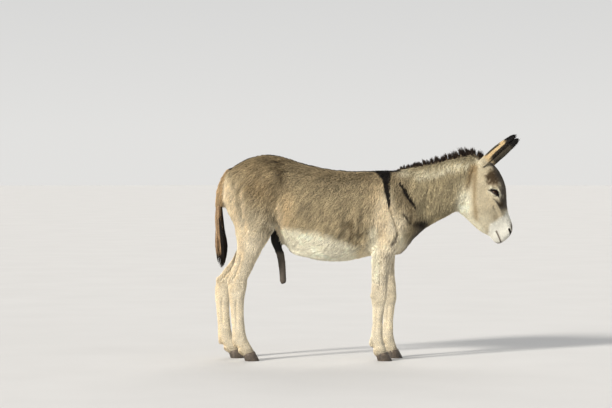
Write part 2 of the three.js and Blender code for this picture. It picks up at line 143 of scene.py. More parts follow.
def spot(points: Array, place: tuple, reach: tuple) -> Array:
    """1 at a place (x, z) of the side view, falling away over about a reach along x and along z."""
    return bell(points[:, 0] - place[0], reach[0]) * bell(points[:, 2] - place[1], reach[1])


@dataclass(frozen=True)
class Noise:
    """A smooth random field in space, from -1 to 1, fixed by its seed."""

    seed: int
    table: int = 4096

    def at(self, places: Array, size: float) -> Array:
        """The field at each place.

        Args:
            places: one row of x, y and z for each place.
            size: the distance over which the field changes.

        Returns:
            One value for each place.
        """
        values = np.random.default_rng(self.seed).uniform(-1, 1, self.table)
        scaled = places / size
        cell = np.floor(scaled).astype(np.int64)
        part = scaled - cell
        part = part * part * (3 - 2 * part)
        total = np.zeros(len(places))
        for corner in np.ndindex(2, 2, 2):
            at = cell + np.array(corner)
            key = (at[:, 0] * 73856093) ^ (at[:, 1] * 19349663) ^ (at[:, 2] * 83492791)
            weight = np.prod(np.where(corner, part, 1 - part), axis=1)
            total += weight * values[(key ^ (key >> 7)) % self.table]
        return total


def linear(colour: Array) -> Array:
    """Display values from 0 to 255 as linear light from 0 to 1."""
    share = np.clip(colour, 0, 255) / 255
    return np.where(share <= 0.04045, share / 12.92, ((share + 0.055) / 1.055) ** 2.4)


# ---------------------------------------------------------------- meshes


def read(items: bpy.types.bpy_prop_collection, name: str, width: int, kind: type = np.float32) -> Array:
    """One value of every item in a mesh's collection, as rows of a width."""
    found = np.empty(len(items) * width, kind)
    items.foreach_get(name, found)
    return found.reshape(-1, width)


def points_of(mesh: Mesh) -> Array:
    """The mesh's vertices in millimetres."""
    return read(mesh.vertices, "co", 3).astype(float) / MM


def move_points(mesh: Mesh, points: Array) -> None:
    """Writes the mesh's vertices, given in millimetres."""
    mesh.vertices.foreach_set("co", (points * MM).astype(np.float32).ravel())
    mesh.update()


def normals_of(mesh: Mesh) -> Array:
    """The mesh's smooth normal at each vertex."""
    return read(mesh.vertex_normals, "vector", 3).astype(float)


def triangles_of(mesh: Mesh, corner: str = "vertices") -> Array:
    """The mesh's triangles, with the vertex or the loop at each corner."""
    mesh.calc_loop_triangles()
    return read(mesh.loop_triangles, corner, 3, np.int32)


def evened(values: Array, triangles: Array, times: int) -> Array:
    """The values at a mesh's vertices, evened out along its surface."""
    ends = triangles[:, [0, 1, 1, 2, 2, 0]].reshape(-1, 2)
    near = np.maximum(np.bincount(ends[:, 0], minlength=len(values)), 1)
    for _ in range(times):
        around = np.bincount(ends[:, 0], values[ends[:, 1]], minlength=len(values)) / near
        values = 0.5 * values + 0.5 * around
    return values


def paint(mesh: Mesh, colours: Array, along: Array) -> None:
    """Writes the colour attribute that the hair and skin finishes read.

    Args:
        mesh: the mesh to paint.
        colours: a linear colour for each vertex.
        along: how far up a hair each vertex is, from 0 to 1.
    """
    layer = mesh.attributes.new(COLOUR, "FLOAT_COLOR", "POINT")
    values = np.column_stack([colours, along]).astype(np.float32)
    layer.data.foreach_set("color", values.ravel())


def merged_copy(node: str) -> bmesh.types.BMesh:
    """A node's mesh as one welded shell."""
    shell = bmesh.new()
    shell.from_mesh(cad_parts[node].data)
    bmesh.ops.remove_doubles(shell, verts=shell.verts, dist=0.01 * MM)
    bmesh.ops.recalc_face_normals(shell, faces=shell.faces)
    shell.normal_update()
    return shell


def as_mesh(shell: bmesh.types.BMesh, name: str) -> Mesh:
    """The finished shell as a mesh, and frees it."""
    mesh = bpy.data.meshes.new(name)
    shell.to_mesh(mesh)
    shell.free()
    return mesh


def in_order(mesh: Mesh) -> Mesh:
    """A mesh of triangles with its vertices and faces in an order that is the same on every run."""
    points, triangles = points_of(mesh), triangles_of(mesh)
    order = np.lexsort(points.T)
    triangles = np.argsort(order)[triangles]
    turn = (triangles.argmin(1)[:, None] + np.arange(3)) % 3
    triangles = np.take_along_axis(triangles, turn, axis=1)
    made = bpy.data.meshes.new(mesh.name)
    made.from_pydata(points[order] * MM, [], triangles[np.lexsort(triangles.T)])
    bpy.data.meshes.remove(mesh)
    return made


def evaluated(piece: bpy.types.Object) -> Mesh:
    """The mesh that a scratch object's modifiers make, and removes the object."""
    bpy.context.view_layer.update()
    graph = bpy.context.evaluated_depsgraph_get()
    mesh = bpy.data.meshes.new_from_object(piece.evaluated_get(graph))
    bpy.data.objects.remove(piece)
    return mesh


def new_object(name: str, data: bpy.types.ID) -> bpy.types.Object:
    """A new object in the scene, which holds a mesh, a curve, a lamp or a camera."""
    piece = bpy.data.objects.new(name, data)
    bpy.context.scene.collection.objects.link(piece)
    return piece


def install(name: str, mesh: Mesh, finish: "Finish", nodes: tuple) -> None:
    """Puts a finished mesh in the scene, in place of its nodes.

    Args:
        name: the piece's name.
        mesh: its mesh, in the frame's own place.
        finish: what its surface is.
        nodes: the nodes that it stands for.
    """
    mesh.name = name
    mesh.shade_smooth()
    mesh.materials.clear()
    mesh.materials.append(finish.material())
    piece = new_object(name, mesh)
    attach(piece, BODY)
    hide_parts(*nodes)
    LOG.info("%s: %d faces", name, len(mesh.polygons))


# ---------------------------------------------------------------- finishes


def set_numbers(node: bpy.types.Node, numbers: dict) -> None:
    """Sets the numbers on a shader node's sockets, by their names."""
    for name, number in numbers.items():
        node.inputs[name].default_value = number


def new_material(name: str) -> tuple[bpy.types.Material, Socket]:
    """An empty material, and the place on the piece that its patterns follow."""
    material = bpy.data.materials.new(name)
    material.use_nodes = True
    return material, material.node_tree.nodes.new("ShaderNodeTexCoord").outputs["Object"]


def cloudy(material: bpy.types.Material, place: Socket, scale: float, detail: float) -> Socket:
    """A cloudy grain over a place, as a value from 0 to 1."""
    noise = material.node_tree.nodes.new("ShaderNodeTexNoise")
    set_numbers(noise, {"Scale": scale, "Detail": detail})
    material.node_tree.links.new(place, noise.inputs["Vector"])
    return noise.outputs["Fac"]


def ranged(material: bpy.types.Material, source: Socket, given: tuple, made: tuple) -> Socket:
    """A value's range, given, mapped to another range, made."""
    node = material.node_tree.nodes.new("ShaderNodeMapRange")
    set_numbers(node, {"From Min": given[0], "From Max": given[1], "To Min": made[0], "To Max": made[1]})
    material.node_tree.links.new(source, node.inputs["Value"])
    return node.outputs["Result"]


def tinted(holder: bpy.types.ID, value: Socket, stops: tuple) -> Socket:
    """A value as a colour, by stops that each have a position and a colour."""
    node = holder.node_tree.nodes.new("ShaderNodeValToRGB")
    elements = node.color_ramp.elements
    for element, (position, colour) in zip(elements, (stops[0], stops[-1])):
        element.position, element.color = position, (*colour, 1)
    for position, colour in stops[1:-1]:
        elements.new(position).color = (*colour, 1)
    holder.node_tree.links.new(value, node.inputs["Fac"])
    return node.outputs["Color"]


@dataclass(frozen=True)
class Finish:
    """A surface, as the values of its shader and the grain that its nodes draw."""

    name: str
    roughness: float = 0.75
    specular: float = 0.25
    sheen: float = 0.0
    grain: float = 220.0
    contrast: float = 0.16
    root: float = 1.0
    tip: float = 1.0
    bump: float = 0.0
    bump_grain: float = 600.0
    bump_depth: float = 0.002

    def material(self) -> bpy.types.Material:
        """The finish as a material: the painted colour, varied by a grain and along each hair, darker at the
        root as painted shade and lighter at the tip as painted light.
        """
        found = bpy.data.materials.get(self.name)
        if found:
            return found
        material, place = new_material(self.name)
        nodes, links = material.node_tree.nodes, material.node_tree.links
        shader = nodes["Principled BSDF"]
        set_numbers(shader, {"Roughness": self.roughness, "Specular IOR Level": self.specular})
        set_numbers(shader, {"Sheen Weight": self.sheen, "Sheen Roughness": 0.5})
        painted = nodes.new("ShaderNodeAttribute")
        painted.attribute_name = COLOUR
        grain = cloudy(material, place, self.grain, 3.0)
        both = nodes.new("ShaderNodeMath")
        both.operation = "MULTIPLY"
        links.new(ranged(material, grain, (0.3, 0.7), (1 - self.contrast, 1 + self.contrast)), both.inputs[0])
        links.new(ranged(material, painted.outputs["Alpha"], (0, 1), (self.root, self.tip)), both.inputs[1])
        tint = nodes.new("ShaderNodeVectorMath")
        tint.operation = "SCALE"
        links.new(painted.outputs["Color"], tint.inputs[0])
        links.new(both.outputs[0], tint.inputs["Scale"])
        links.new(tint.outputs[0], shader.inputs["Base Color"])
        if self.bump:
            relief = nodes.new("ShaderNodeBump")
            set_numbers(relief, {"Strength": self.bump, "Distance": self.bump_depth})
            links.new(cloudy(material, place, self.bump_grain, 4.0), relief.inputs["Height"])
            links.new(relief.outputs["Normal"], shader.inputs["Normal"])
        return material


# The skin is darkened under the hair by its root factor, as painted shade under the coat.
SKIN = Finish("skin_under_hair", roughness=0.72, grain=260, contrast=0.2, root=0.6, bump=0.5)
# The hairs are darkened towards their roots, as painted shade between them, and lightened at their tips, as
# painted light.
HAIR = Finish("short_hair", roughness=0.62, specular=0.14, sheen=0.05, grain=170, root=0.7, tip=1.14)
LONG_HAIR = Finish("long_hair", roughness=0.5, grain=120, contrast=0.25, root=0.7, tip=1.15)
LID = Finish("lid_rim", roughness=0.38, specular=0.45, grain=500, contrast=0.2, bump=0.25)
EYE = Finish("wet_eye", roughness=0.22, specular=0.22, grain=900, contrast=0.12)
HORN = Finish("hoof_horn", roughness=0.5, specular=0.4, grain=90, contrast=0.3, bump=0.5, bump_grain=260)


# ---------------------------------------------------------------- the eye's opening


@dataclass(frozen=True)
class EyeOpening:
    """The lids of one eye, measured from the middle of its ball."""

    side: int
    node: str
    half_length: float = 26.0
    upper: float = 14.0
    lower: float = 8.5
    skew: float = 0.3
    lid_shell: float = 23.4
    corner_lines: tuple = (((-24, -2), (-40, -8)), ((23, -1), (34, -5)))
    sunk: float = 6.0

    @property
    def centre(self) -> Array:
        """The middle of the eyeball."""
        low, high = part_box(self.node)
        return np.array((low + high) / 2) / MM

    @property
    def radius(self) -> float:
        """The eyeball's radius."""
        low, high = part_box(self.node)
        return (high.z - low.z) / 2 / MM

    def axes(self) -> tuple[Array, Array, Array]:
        """Outwards, along the opening to the nose, and up across it."""
        out = unit(np.array([0.14, self.side * 0.98, 0.08]))
        slant = np.array([0.82, 0.0, -0.57])
        forward = unit(slant - (slant @ out) * out)
        up = np.cross(out, forward)
        return out, forward, up * (1 if up[2] > 0 else -1)

    def split(self, points: Array) -> tuple[Array, Array, Array]:
        """Each point's height out of the head, its place along the opening and across it."""
        return tuple((points - self.centre) @ axis for axis in self.axes())

    def joined(self, height: Array, length: Array, across: Array) -> Array:
        """The points that split() gives these three numbers for."""
        out, forward, up = self.axes()
        return self.centre + height[:, None] * out + length[:, None] * forward + across[:, None] * up

    def edges(self, length: Array) -> tuple[Array, Array]:
        """The lids' edges above and below the middle line at each place along the opening."""
        share = np.clip(length / self.half_length, -1, 1)
        top = self.upper * (1 - np.abs(share) ** 2.2) * (1 + self.skew * share)
        return top, -self.lower * (1 - np.abs(share) ** 2.4) * (1 - self.skew * share)

    def gap(self, points: Array) -> Array:
        """How far each point is outside the opening, in the plane of the lids."""
        height, length, across = self.split(points)
        top, bottom = self.edges(length)
        ends = np.abs(length) - self.half_length
        outside = np.maximum(np.maximum(across - top, bottom - across), ends)
        return np.where(height > -10, outside, 99.0)


OPENINGS = tuple(EyeOpening(side, f"eye_{name}") for side, name in ((-1, "right"), (1, "left")))

# The lines of the nostril and the mouth in the side view, each corner an (x, z).
NOSTRIL = ((865, 797), (872, 782), (876, 762))
MOUTH = ((786, 786), (800, 755), (817, 716))


# ---------------------------------------------------------------- the markings


class Tone(Enum):
    """The coat's colours, some of which also serve as painted shade, as display values from 0 to 255."""

    SIDE = (180, 164, 131)
    BACK = (122, 107, 80)
    RUMP = (154, 133, 97)
    PINKISH = (226, 202, 160)
    NECK = (184, 170, 136)
    BELLY = (253, 247, 224)
    LEG = (240, 228, 202)
    YELLOWISH = (250, 230, 186)
    SHADE = (92, 78, 55)
    # The dark of the stripes, also laid as painted shadow in the breast's hollow and fold.
    STRIPE_AND_SHADOW = (20, 14, 10)
    FACE = (214, 201, 171)
    CREAM = (255, 250, 226)
    WARM = (252, 233, 198)
    TAN = (176, 150, 108)
    BROWN = (74, 58, 38)
    # Painted shade: the dark of the face's front, partly its own grey-brown, and of the breast's front.
    FRONT = (74, 68, 62)
    MUZZLE = (255, 252, 238)
    LIP = (98, 88, 77)
    NOSE = (40, 34, 31)
    EAR = (238, 210, 160)
    # Painted shade: the inner half of an ear's back and the inside of its cup.
    EAR_INNER_SHADE = (66, 61, 51)
    EAR_CUP_SHADE = (112, 98, 77)
    DARK = (20, 16, 13)
    DOCK = (208, 178, 136)
    ORGAN = (88, 80, 71)
    ORGAN_ROOT = (16, 14, 13)


@dataclass(frozen=True)
class Spot:
    """A soft round mark in the side view, about a place (x, z)."""

    strength: float
    place: tuple
    reach: tuple

    def mask(self, points: Array) -> Array:
        """How much of the mark each point shows."""
        return self.strength * spot(points, self.place, self.reach)


@dataclass(frozen=True)
class Band:
    """A mark with soft edges along a path in the side view."""

    strength: float
    path: tuple
    half_width: float
    soft: float

    def mask(self, points: Array) -> Array:
        """How much of the mark each point shows."""
        far = path_distance(points[:, [0, 2]], self.path)
        return self.strength * ramp(self.half_width + self.soft, self.half_width - self.soft, far)


@dataclass(frozen=True)
class Mark:
    """A colour and the shapes that it is laid in. A grain (from, to) breaks it up by the fine mottle."""

    tone: Tone
    shapes: tuple
    strength: float = 1.0
    grain: tuple | None = None

    def mask(self, points: Array, fine: Array) -> Array:
        """How much of the colour each point shows."""
        whole = self.strength * sum(shape.mask(points) for shape in self.shapes)
        return whole * ramp(*self.grain, fine) if self.grain else whole


LOIN_SMUDGE = (Spot(0.7, (-520, 1140), (34, 56)), Spot(0.6, (-540, 1212), (90, 24)))
TRUNK_MARKS = (
    Mark(Tone.BACK, (Spot(0.12, (-330, 1120), (190, 70)),)),
    Mark(Tone.RUMP, (Spot(0.85, (-660, 1060), (140, 150)),)),
    Mark(Tone.BACK, (Spot(0.7, (-590, 1225), (90, 46)),)),
    Mark(Tone.PINKISH, (Spot(0.9, (-478, 915), (50, 130)), Spot(0.6, (58, 1020), (62, 130)))),
    Mark(Tone.BROWN, (Spot(0.35, (-615, 905), (42, 34)),), grain=(-0.3, 0.5)),
    Mark(Tone.SHADE, LOIN_SMUDGE, grain=(-0.8, 0.2)),
)

BLADE_HOLLOW = ((224, 1046), (246, 985), (258, 930), (262, 856))
CREAM_SHOULDER = (Spot(1.0, (112, 830), (78, 130)), Spot(0.55, (110, 960), (46, 80)))
SHOULDER_MARKS = (
    Mark(Tone.WARM, CREAM_SHOULDER, strength=0.95),
    Mark(Tone.CREAM, CREAM_SHOULDER, strength=0.45),
    Mark(Tone.WARM, (Band(0.9, ((118, 936), (98, 870), (84, 800), (80, 700), (76, 640)), 42, 34),)),
    Mark(Tone.LEG, (Spot(0.85, (158, 800), (46, 72)), Spot(0.6, (218, 852), (30, 60)))),
    Mark(Tone.BACK, (Spot(0.45, (200, 1005), (44, 84)),)),
    Mark(Tone.SHADE, (Band(0.62, BLADE_HOLLOW, 16, 24),), grain=(-1.0, 0.6)),
    # Painted shadow down the front of the breast.
    Mark(Tone.FRONT, (Band(0.75, ((350, 818), (302, 752), (242, 672)), 26, 24),)),
    # Painted shadow in the hollow at the base of the neck.
    Mark(Tone.STRIPE_AND_SHADOW, (Spot(0.85, (322, 838), (42, 24)),)),
    Mark(Tone.CREAM, (Spot(0.55, (230, 1140), (46, 26)),)),
)

LIMB_MARKS = (
    Mark(Tone.SHADE, (Spot(0.45, (-600, 812), (40, 34)),), grain=(-0.2, 0.5)),
    # Painted shadow in the fold between the near foreleg and the breast.
    Mark(Tone.STRIPE_AND_SHADOW, (Band(0.6, ((182, 772), (168, 740), (150, 712)), 7, 8),)),
    Mark(Tone.CREAM, (Spot(0.7, (208, 745), (26, 36)),)),
    Mark(Tone.CREAM, (Band(0.8, ((36, 800), (40, 700), (50, 600), (54, 500)), 22, 24),)),
    # Painted shadow down the front of the breast towards the forearm.
    Mark(Tone.FRONT, (Band(0.66, ((330, 790), (280, 722), (236, 652)), 20, 20),)),
)

CHEEK_BAND = ((662, 1170), (650, 1060), (650, 950), (664, 860))
CHEEK_MARKS = (
    Mark(Tone.CREAM, (Spot(0.5, (668, 1195), (30, 46)),)),
    Mark(Tone.TAN, (Band(0.75, CHEEK_BAND, 9, 20),)),
    Mark(Tone.BROWN, (Band(0.22, CHEEK_BAND, 5, 16),), grain=(-1.0, 0.3)),
    Mark(Tone.TAN, (Band(0.8, ((650, 1180), (622, 1110), (606, 1050)), 16, 20),)),
    Mark(Tone.BROWN, (Spot(0.4, (628, 1140), (14, 55)),), grain=(-0.5, 0.5)),
    Mark(Tone.CREAM, (Spot(1.5, (590, 955), (42, 98)),)),
    Mark(Tone.CREAM, (Spot(0.45, (706, 846), (56, 50)),)),
    Mark(Tone.CREAM, (Band(0.8, ((590, 900), (652, 836), (712, 780)), 12, 16),)),
)

FACE_MARKS = (
    Mark(Tone.BROWN, (Spot(0.95, (812, 950), (17, 24)),), grain=(-0.9, 0.2)),
    Mark(Tone.BROWN, (Spot(0.3, (782, 872), (20, 20)),)),
)


@dataclass
class Markings:
    """The animal's colouring, worked out from each point's place and the way its surface faces, so that skin
    and coat agree; some of it is painted light and shade.

    The edges of the belly are (x, z), and those of the shoulder's cross are (z, x).
    """

    noise: Noise = Noise(11)
    belly_edge: tuple = (
        (-640, 880), (-540, 826), (-432, 812), (-307, 797), (-183, 748), (-121, 738), (-60, 716), (60, 712),
    )
    under_mane: tuple = ((320, 1126), (420, 1144), (500, 1172), (600, 1192))
    cross_left: tuple = ((936, 128), (995, 116), (1053, 102), (1100, 96), (1140, 62), (1165, 20))
    cross_right: tuple = ((936, 136), (1000, 139), (1100, 142), (1165, 150))
    blade_edge: tuple = ((202, 1078), (222, 1046), (246, 1010), (268, 975), (291, 936))
    blade_foot: tuple = ((214, 900), (237, 874), (256, 846))
    shoulder_crease: tuple = ((136, 928), (155, 874), (175, 800), (186, 773))
    face_back: tuple = ((560, 880), (596, 1000), (668, 1240))
    muzzle_edge: tuple = ((866, 926), (834, 886), (796, 858), (744, 838), (736, 768))
    callus: tuple = (92, 452)

    def colours(self, points: Array, normals: Array, parts: Array) -> Array:
        """The linear colour at each point.

        Args:
            points: the places on the skin.
            normals: the skin's normals there.
            parts: the name of the node that each point stands for.

        Returns:
            One row of red, green and blue for each point.
        """
        self.colour = np.tile(np.array(Tone.SIDE.value, float), (len(points), 1))
        self.x, self.y, self.z = points.T
        self.normals, self.points, self.parts = normals, points, parts
        self.flat = points[:, [0, 2]]
        self.patchy = self.noise.at(points, 38)
        self.fine = self.noise.at(points + 500, 13)
        self.trunk()
        self.lay_all(SHOULDER_MARKS)
        self.limbs()
        self.stripes()
        self.head()
        self.muzzle()
        self.ears()
        self.tail_and_sheath()
        mottle = 1 + 0.05 * self.patchy + 0.045 * self.fine + 0.04 * self.noise.at(points, 120)
        return linear(self.colour * mottle[:, None])

    def lay(self, tone: Tone, mask: Array) -> None:
        """Blends a colour over what is there, by a mask from 0 to 1."""
        self.colour += (np.array(tone.value) - self.colour) * np.clip(mask, 0, 1)[:, None]

    def lay_all(self, marks: tuple) -> None:
        """Lays a row of marks, each over the ones before it."""
        for mark in marks:
            self.lay(mark.tone, mark.mask(self.points, self.fine))

    def broken(self, start: float, end: float, size: float, stretch: float = 1.0) -> Array:
        """A mask broken up by a noise, which a stretch under 1 draws out upwards."""
        return ramp(start, end, self.noise.at(self.points * [1, 1, stretch], size))

    def trunk(self) -> None:
        """The grey back, the warm rump and the pale belly."""
        self.lay(Tone.BACK, 0.8 * ramp(0.35, 0.95, self.normals[:, 2]) * ramp(900, 1120, self.z))
        self.lay_all(TRUNK_MARKS)
        self.lay(Tone.NECK, ramp(230, 330, self.x + 0.3 * (self.z - 1000)))
        smudge = sum(shape.mask(self.points) for shape in LOIN_SMUDGE)
        self.lay(Tone.STRIPE_AND_SHADOW, 0.8 * smudge * self.broken(0.0, 0.7, 14))
        under_mane = Band(0.85, self.under_mane, 24, 26).mask(self.points)
        self.lay(Tone.CREAM, under_mane * self.broken(-1.3, 0.5, 9, 0.3))
        specks = self.broken(0.25, 0.6, 17) * ramp(1110, 1160, self.z)
        self.lay(Tone.STRIPE_AND_SHADOW, 0.35 * specks * ramp(-420, -330, self.x) * ramp(-150, -190, self.x))
        edge = np.interp(self.x, *np.array(self.belly_edge, float).T)
        belly = ramp(edge + 24, edge - 26, self.z + 9 * self.patchy + 6 * self.fine)
        self.lay(Tone.BELLY, belly * ramp(-600, -560, self.x))
        locks = Spot(0.95, (-14, 690), (40, 100)).mask(self.points)
        self.lay(Tone.YELLOWISH, locks * self.broken(-1.6, 0.2, 11, 0.15))
        gaps = Spot(0.85, (-68, 800), (72, 88)).mask(self.points)
        self.lay(Tone.SHADE, gaps * self.broken(-0.1, 0.5, 12, 0.2))

    def limbs(self) -> None:
        """The cream legs, painted light on the rear of the hindquarters, painted shadow on the breast, and
        the dark callus inside each foreleg.
        """
        front = ramp(-60, 20, self.x)
        self.lay(Tone.LEG, 0.94 * front * ramp(790, 660, self.z))
        back = ramp(-480, -560, self.x)
        fade = self.z + 0.6 * (self.x + 880) + 24 * self.patchy + 10 * self.fine
        self.lay(Tone.LEG, back * (0.5 * ramp(1190, 960, fade) + 0.5 * ramp(1010, 800, fade)))
        # Painted light: a warm pale tone on the hind surfaces that face the rear.
        self.lay(Tone.WARM, 0.8 * ramp(-0.05, -0.6, self.normals[:, 0]) * back * ramp(1190, 1040, self.z))
        self.lay(Tone.YELLOWISH, 0.16 * ramp(430, 200, self.z) * ramp(-0.2, 0.6, self.patchy))
        self.lay(Tone.SHADE, 0.22 * ramp(95, 55, self.z))
        self.lay_all(LIMB_MARKS)
        inner = ramp(100, 84, np.abs(self.y)) * front
        callus = bell(np.hypot(self.x - self.callus[0], (self.z - self.callus[1]) * 0.7), 16)
        self.lay(Tone.NOSE, 0.9 * callus * inner)

    def stripes(self) -> None:
        """The stripe down the back, the cross over the shoulders and the line along the blade, dark hair with
        painted shadow in its groove.
        """
        top = ramp(0.25, 0.6, self.normals[:, 2]) * ramp(1040, 1090, self.z)
        strength = np.where(self.x > -150, 0.95, 0.8 + 0.2 * self.patchy)
        back = ramp(24, 15, np.abs(self.y) + 2 * self.fine) * ramp(225, 195, self.x)
        self.lay(Tone.STRIPE_AND_SHADOW, strength * back * top)
        wobble = self.x + 2.5 * self.fine
        left, right = (np.interp(self.z, *np.array(e).T) for e in (self.cross_left, self.cross_right))
        across = ramp(left - 4, left + 4, wobble) * ramp(right + 4, right - 4, wobble)
        self.lay(Tone.STRIPE_AND_SHADOW, 0.97 * across * ramp(926, 950, self.z))
        outer = ramp(0.15, 0.4, np.abs(self.normals[:, 1]))
        # The line along the blade and its foot: dark hair and painted shadow in the groove there.
        far, share, _ = follow(self.flat, self.blade_edge)
        width = 5 + 8 * np.sin(np.pi * np.clip(share, 0.08, 0.95))
        self.lay(Tone.STRIPE_AND_SHADOW, 0.95 * ramp(width + 4, width - 3, far) * outer)
        self.lay(Tone.STRIPE_AND_SHADOW, Band(0.6, self.blade_foot, 6, 5).mask(self.points) * outer)
        self.lay(Tone.SHADE, Band(0.5, self.shoulder_crease, 4, 6).mask(self.points) * outer)

    def head(self) -> None:
        """The face: pale cheek edge, brown band and forehead, painted shade on its front, and the marks round
        the eyes.
        """
        face = ramp(12, -12, beyond(self.flat, self.face_back))
        self.lay(Tone.FACE, face)
        self.lay_all(CHEEK_MARKS)
        forehead = ramp(0.25, 0.7, spot(self.points, (766, 1112), (50, 54)) + 0.22 * self.fine)
        self.lay(Tone.BROWN, 0.95 * forehead * self.broken(-1.5, 0.1, 12))
        # Painted shade: the front of the face, darker where it faces forward, over its own greyer brown.
        shaded_bridge = ramp(0.2, 0.62, self.normals[:, 0]) * face * ramp(895, 950, self.z)
        self.lay(Tone.FRONT, 0.85 * shaded_bridge * self.broken(-1.6, -0.2, 15))
        self.lay_all(FACE_MARKS)
        for opening in OPENINGS:
            self.eye(opening)

    def eye(self, opening: EyeOpening) -> None:
        """The pale ring round one eye, its dark lids and the dark lines from its corners."""
        gap = opening.gap(self.points)
        height, length, across = opening.split(self.points)
        self.lay(Tone.CREAM, np.where(across > 0, 0.8, 0.4) * ramp(24, 12, gap + 3 * self.fine))
        lid = np.where(across > 0, 6.5, 4.5)
        self.lay(Tone.NOSE, 0.96 * ramp(lid + 1.5, lid - 1.5, gap))
        plane = np.column_stack([length, across])
        corners = np.minimum(*(path_distance(plane, path) for path in opening.corner_lines))
        self.lay(Tone.NOSE, 0.92 * ramp(5.5, 2.5, corners) * (height > 0))

    def muzzle(self) -> None:
        """The white muzzle, its dark nostrils and lips, and the nose tip, dark skin with painted shade where
        it faces forward.
        """
        white = ramp(-12, 10, beyond(self.flat, self.muzzle_edge) + 6 * self.patchy)
        self.lay(Tone.MUZZLE, white * ramp(690, 730, self.x))
        near = ramp(700, 740, self.x)
        self.lay(Tone.NOSE, near * ramp(9, 4, path_distance(self.flat, NOSTRIL)))
        # The nose tip, darker where it faces forward: dark skin and painted shade.
        tip = ramp(0.55, 0.9, self.normals[:, 0]) * ramp(700, 730, self.z) * ramp(850, 815, self.z)
        self.lay(Tone.LIP, 0.75 * tip * near)
        self.lay(Tone.LIP, 0.7 * near * ramp(7, 2.5, path_distance(self.flat, MOUTH)))
        self.lay(Tone.LIP, 0.45 * near * ramp(722, 706, self.z))

    def ears(self) -> None:
        """Tan backs, dark rims and black tips, with painted shade on the inner half of each back and in each
        cup.
        """
        for ear in DONKEY_EARS:
            here = self.parts == ear.node
            share, inside = ear.share(self.points), ear.inside(self.points, self.normals)
            self.lay(Tone.EAR, here * ramp(0.0, 0.12, share))
            # Painted shade over the inner half of the ear's back.
            self.lay(Tone.EAR_INNER_SHADE, here * 0.9 * ear.inner_side(self.points) * ramp(0.04, 0.16, share))
            # Painted shade in the ear's cup.
            self.lay(Tone.EAR_CUP_SHADE, here * inside * 0.8)
            self.lay(Tone.DARK, here * 0.85 * ear.rim(self.points) * ramp(0.05, 0.25, share))
            self.lay(Tone.DARK, here * ramp(0.66, 0.76, share + 0.03 * self.fine))

    def tail_and_sheath(self) -> None:
        """The dock, dark towards the switch, and the bare dark skin of the sheath."""
        dock = self.parts == "tail_dock"
        self.lay(Tone.DOCK, 0.9 * dock)
        self.lay(Tone.STRIPE_AND_SHADOW, 0.9 * dock * ramp(0.3, 0.7, self.normals[:, 0]) * ramp(1040, 990, self.z))
        sheath = self.parts == "sheath"
        self.lay(Tone.ORGAN_ROOT, sheath)
        self.lay(Tone.ORGAN, 0.9 * sheath * ramp(672, 640, self.z))


# ---------------------------------------------------------------- the ears


@dataclass(frozen=True)
class Ear:
    """The line of one ear, for finding places on it."""

    node: str
    side: int
    root: tuple
    lean: float
    splay: float = 10.0
    turn: float = 22.0
    length: float = 240.0

    @property
    def axis(self) -> Array:
        """From the ear's root to its tip."""
        lean, splay = math.radians(self.lean), math.radians(self.splay)
        return unit(np.array([math.sin(lean), self.side * math.tan(splay), math.cos(lean)]))

    def share(self, points: Array) -> Array:
        """How far up the ear each point is, from 0 to 1."""
        return (points - np.array(self.root)) @ self.axis / self.length

    def off_axis(self, points: Array) -> Array:
        """Each point's place measured square from the middle of the ear's curl."""
        from_root = points - np.array(self.root)
        middle = np.interp(self.share(points), (0, 0.24, 0.7, 1.0), (-2.5, 0, 8.5, 10))
        return from_root - (from_root @ self.axis)[:, None] * self.axis - middle[:, None] * self.opening()

    def opening(self) -> Array:
        """The way that the ear's cup faces."""
        turn = math.radians(self.turn)
        forward = np.array([math.cos(turn), self.side * math.sin(turn), 0.0])
        return unit(forward - (forward @ self.axis) * self.axis)

    def inside(self, points: Array, normals: Array) -> Array:
        """1 in the cup and 0 on the ear's back."""
        return ramp(0.15, -0.25, dot(unit(self.off_axis(points)), normals))

    def inner_side(self, points: Array) -> Array:
        """1 on the half of the ear towards the other ear, and 0 on the outer half."""
        middle = np.cross(self.opening(), self.axis)
        outward = middle * (1 if middle[1] * self.side > 0 else -1)
        off, share = unit(self.off_axis(points)), self.share(points)
        facing = off @ self.opening()
        stripe = ramp(-0.46, -0.56, facing) * ramp(0.03, 0.12, share) * ramp(0.62, 0.5, share)
        return np.maximum(ramp(0.1, -0.15, off @ outward), stripe)

    def rim(self, points: Array) -> Array:
        """1 along the ear's two edges."""
        facing = unit(self.off_axis(points)) @ self.opening()
        edge = np.interp(self.share(points), (0.0, 0.24, 0.5, 1.0), (0.8, 0.6, 0.4, 0.2))
        return ramp(edge - 0.34, edge - 0.16, facing)


DONKEY_EARS = (
    Ear("ear_right", -1, (719, -48, 1207), 46.0),
    Ear("ear_left", 1, (748, 48, 1188), 47.0),
)


# ---------------------------------------------------------------- the skin


@dataclass(frozen=True)
class Swelling:
    """A soft rise on both sides of the animal, or a hollow where its height is negative."""

    place: tuple
    reach: tuple
    height: float

    def lift(self, points: Array, normals: Array) -> Array:
        """How far the skin moves out at each point."""
        mirrored = points * [1, 0, 1] + np.abs(points) * [0, 1, 0]
        off = (mirrored - np.array(self.place, float)) / np.array(self.reach, float)
        return self.height * np.exp(-dot(off, off))


@dataclass(frozen=True)
class Ridge:
    """A soft ridge along a path in the side view, or a groove where its height is negative."""

    path: tuple
    reach: float
    height: float

    def lift(self, points: Array, normals: Array) -> Array:
        """How far the skin moves out at each point."""
        far, share, _ = follow(points[:, [0, 2]], self.path)
        ends = ramp(0, 0.15, share) * ramp(1, 0.85, share)
        sides = ramp(0.1, 0.5, np.abs(normals[:, 1]))
        return self.height * bell(far, self.reach) * (0.3 + 0.7 * ends) * sides


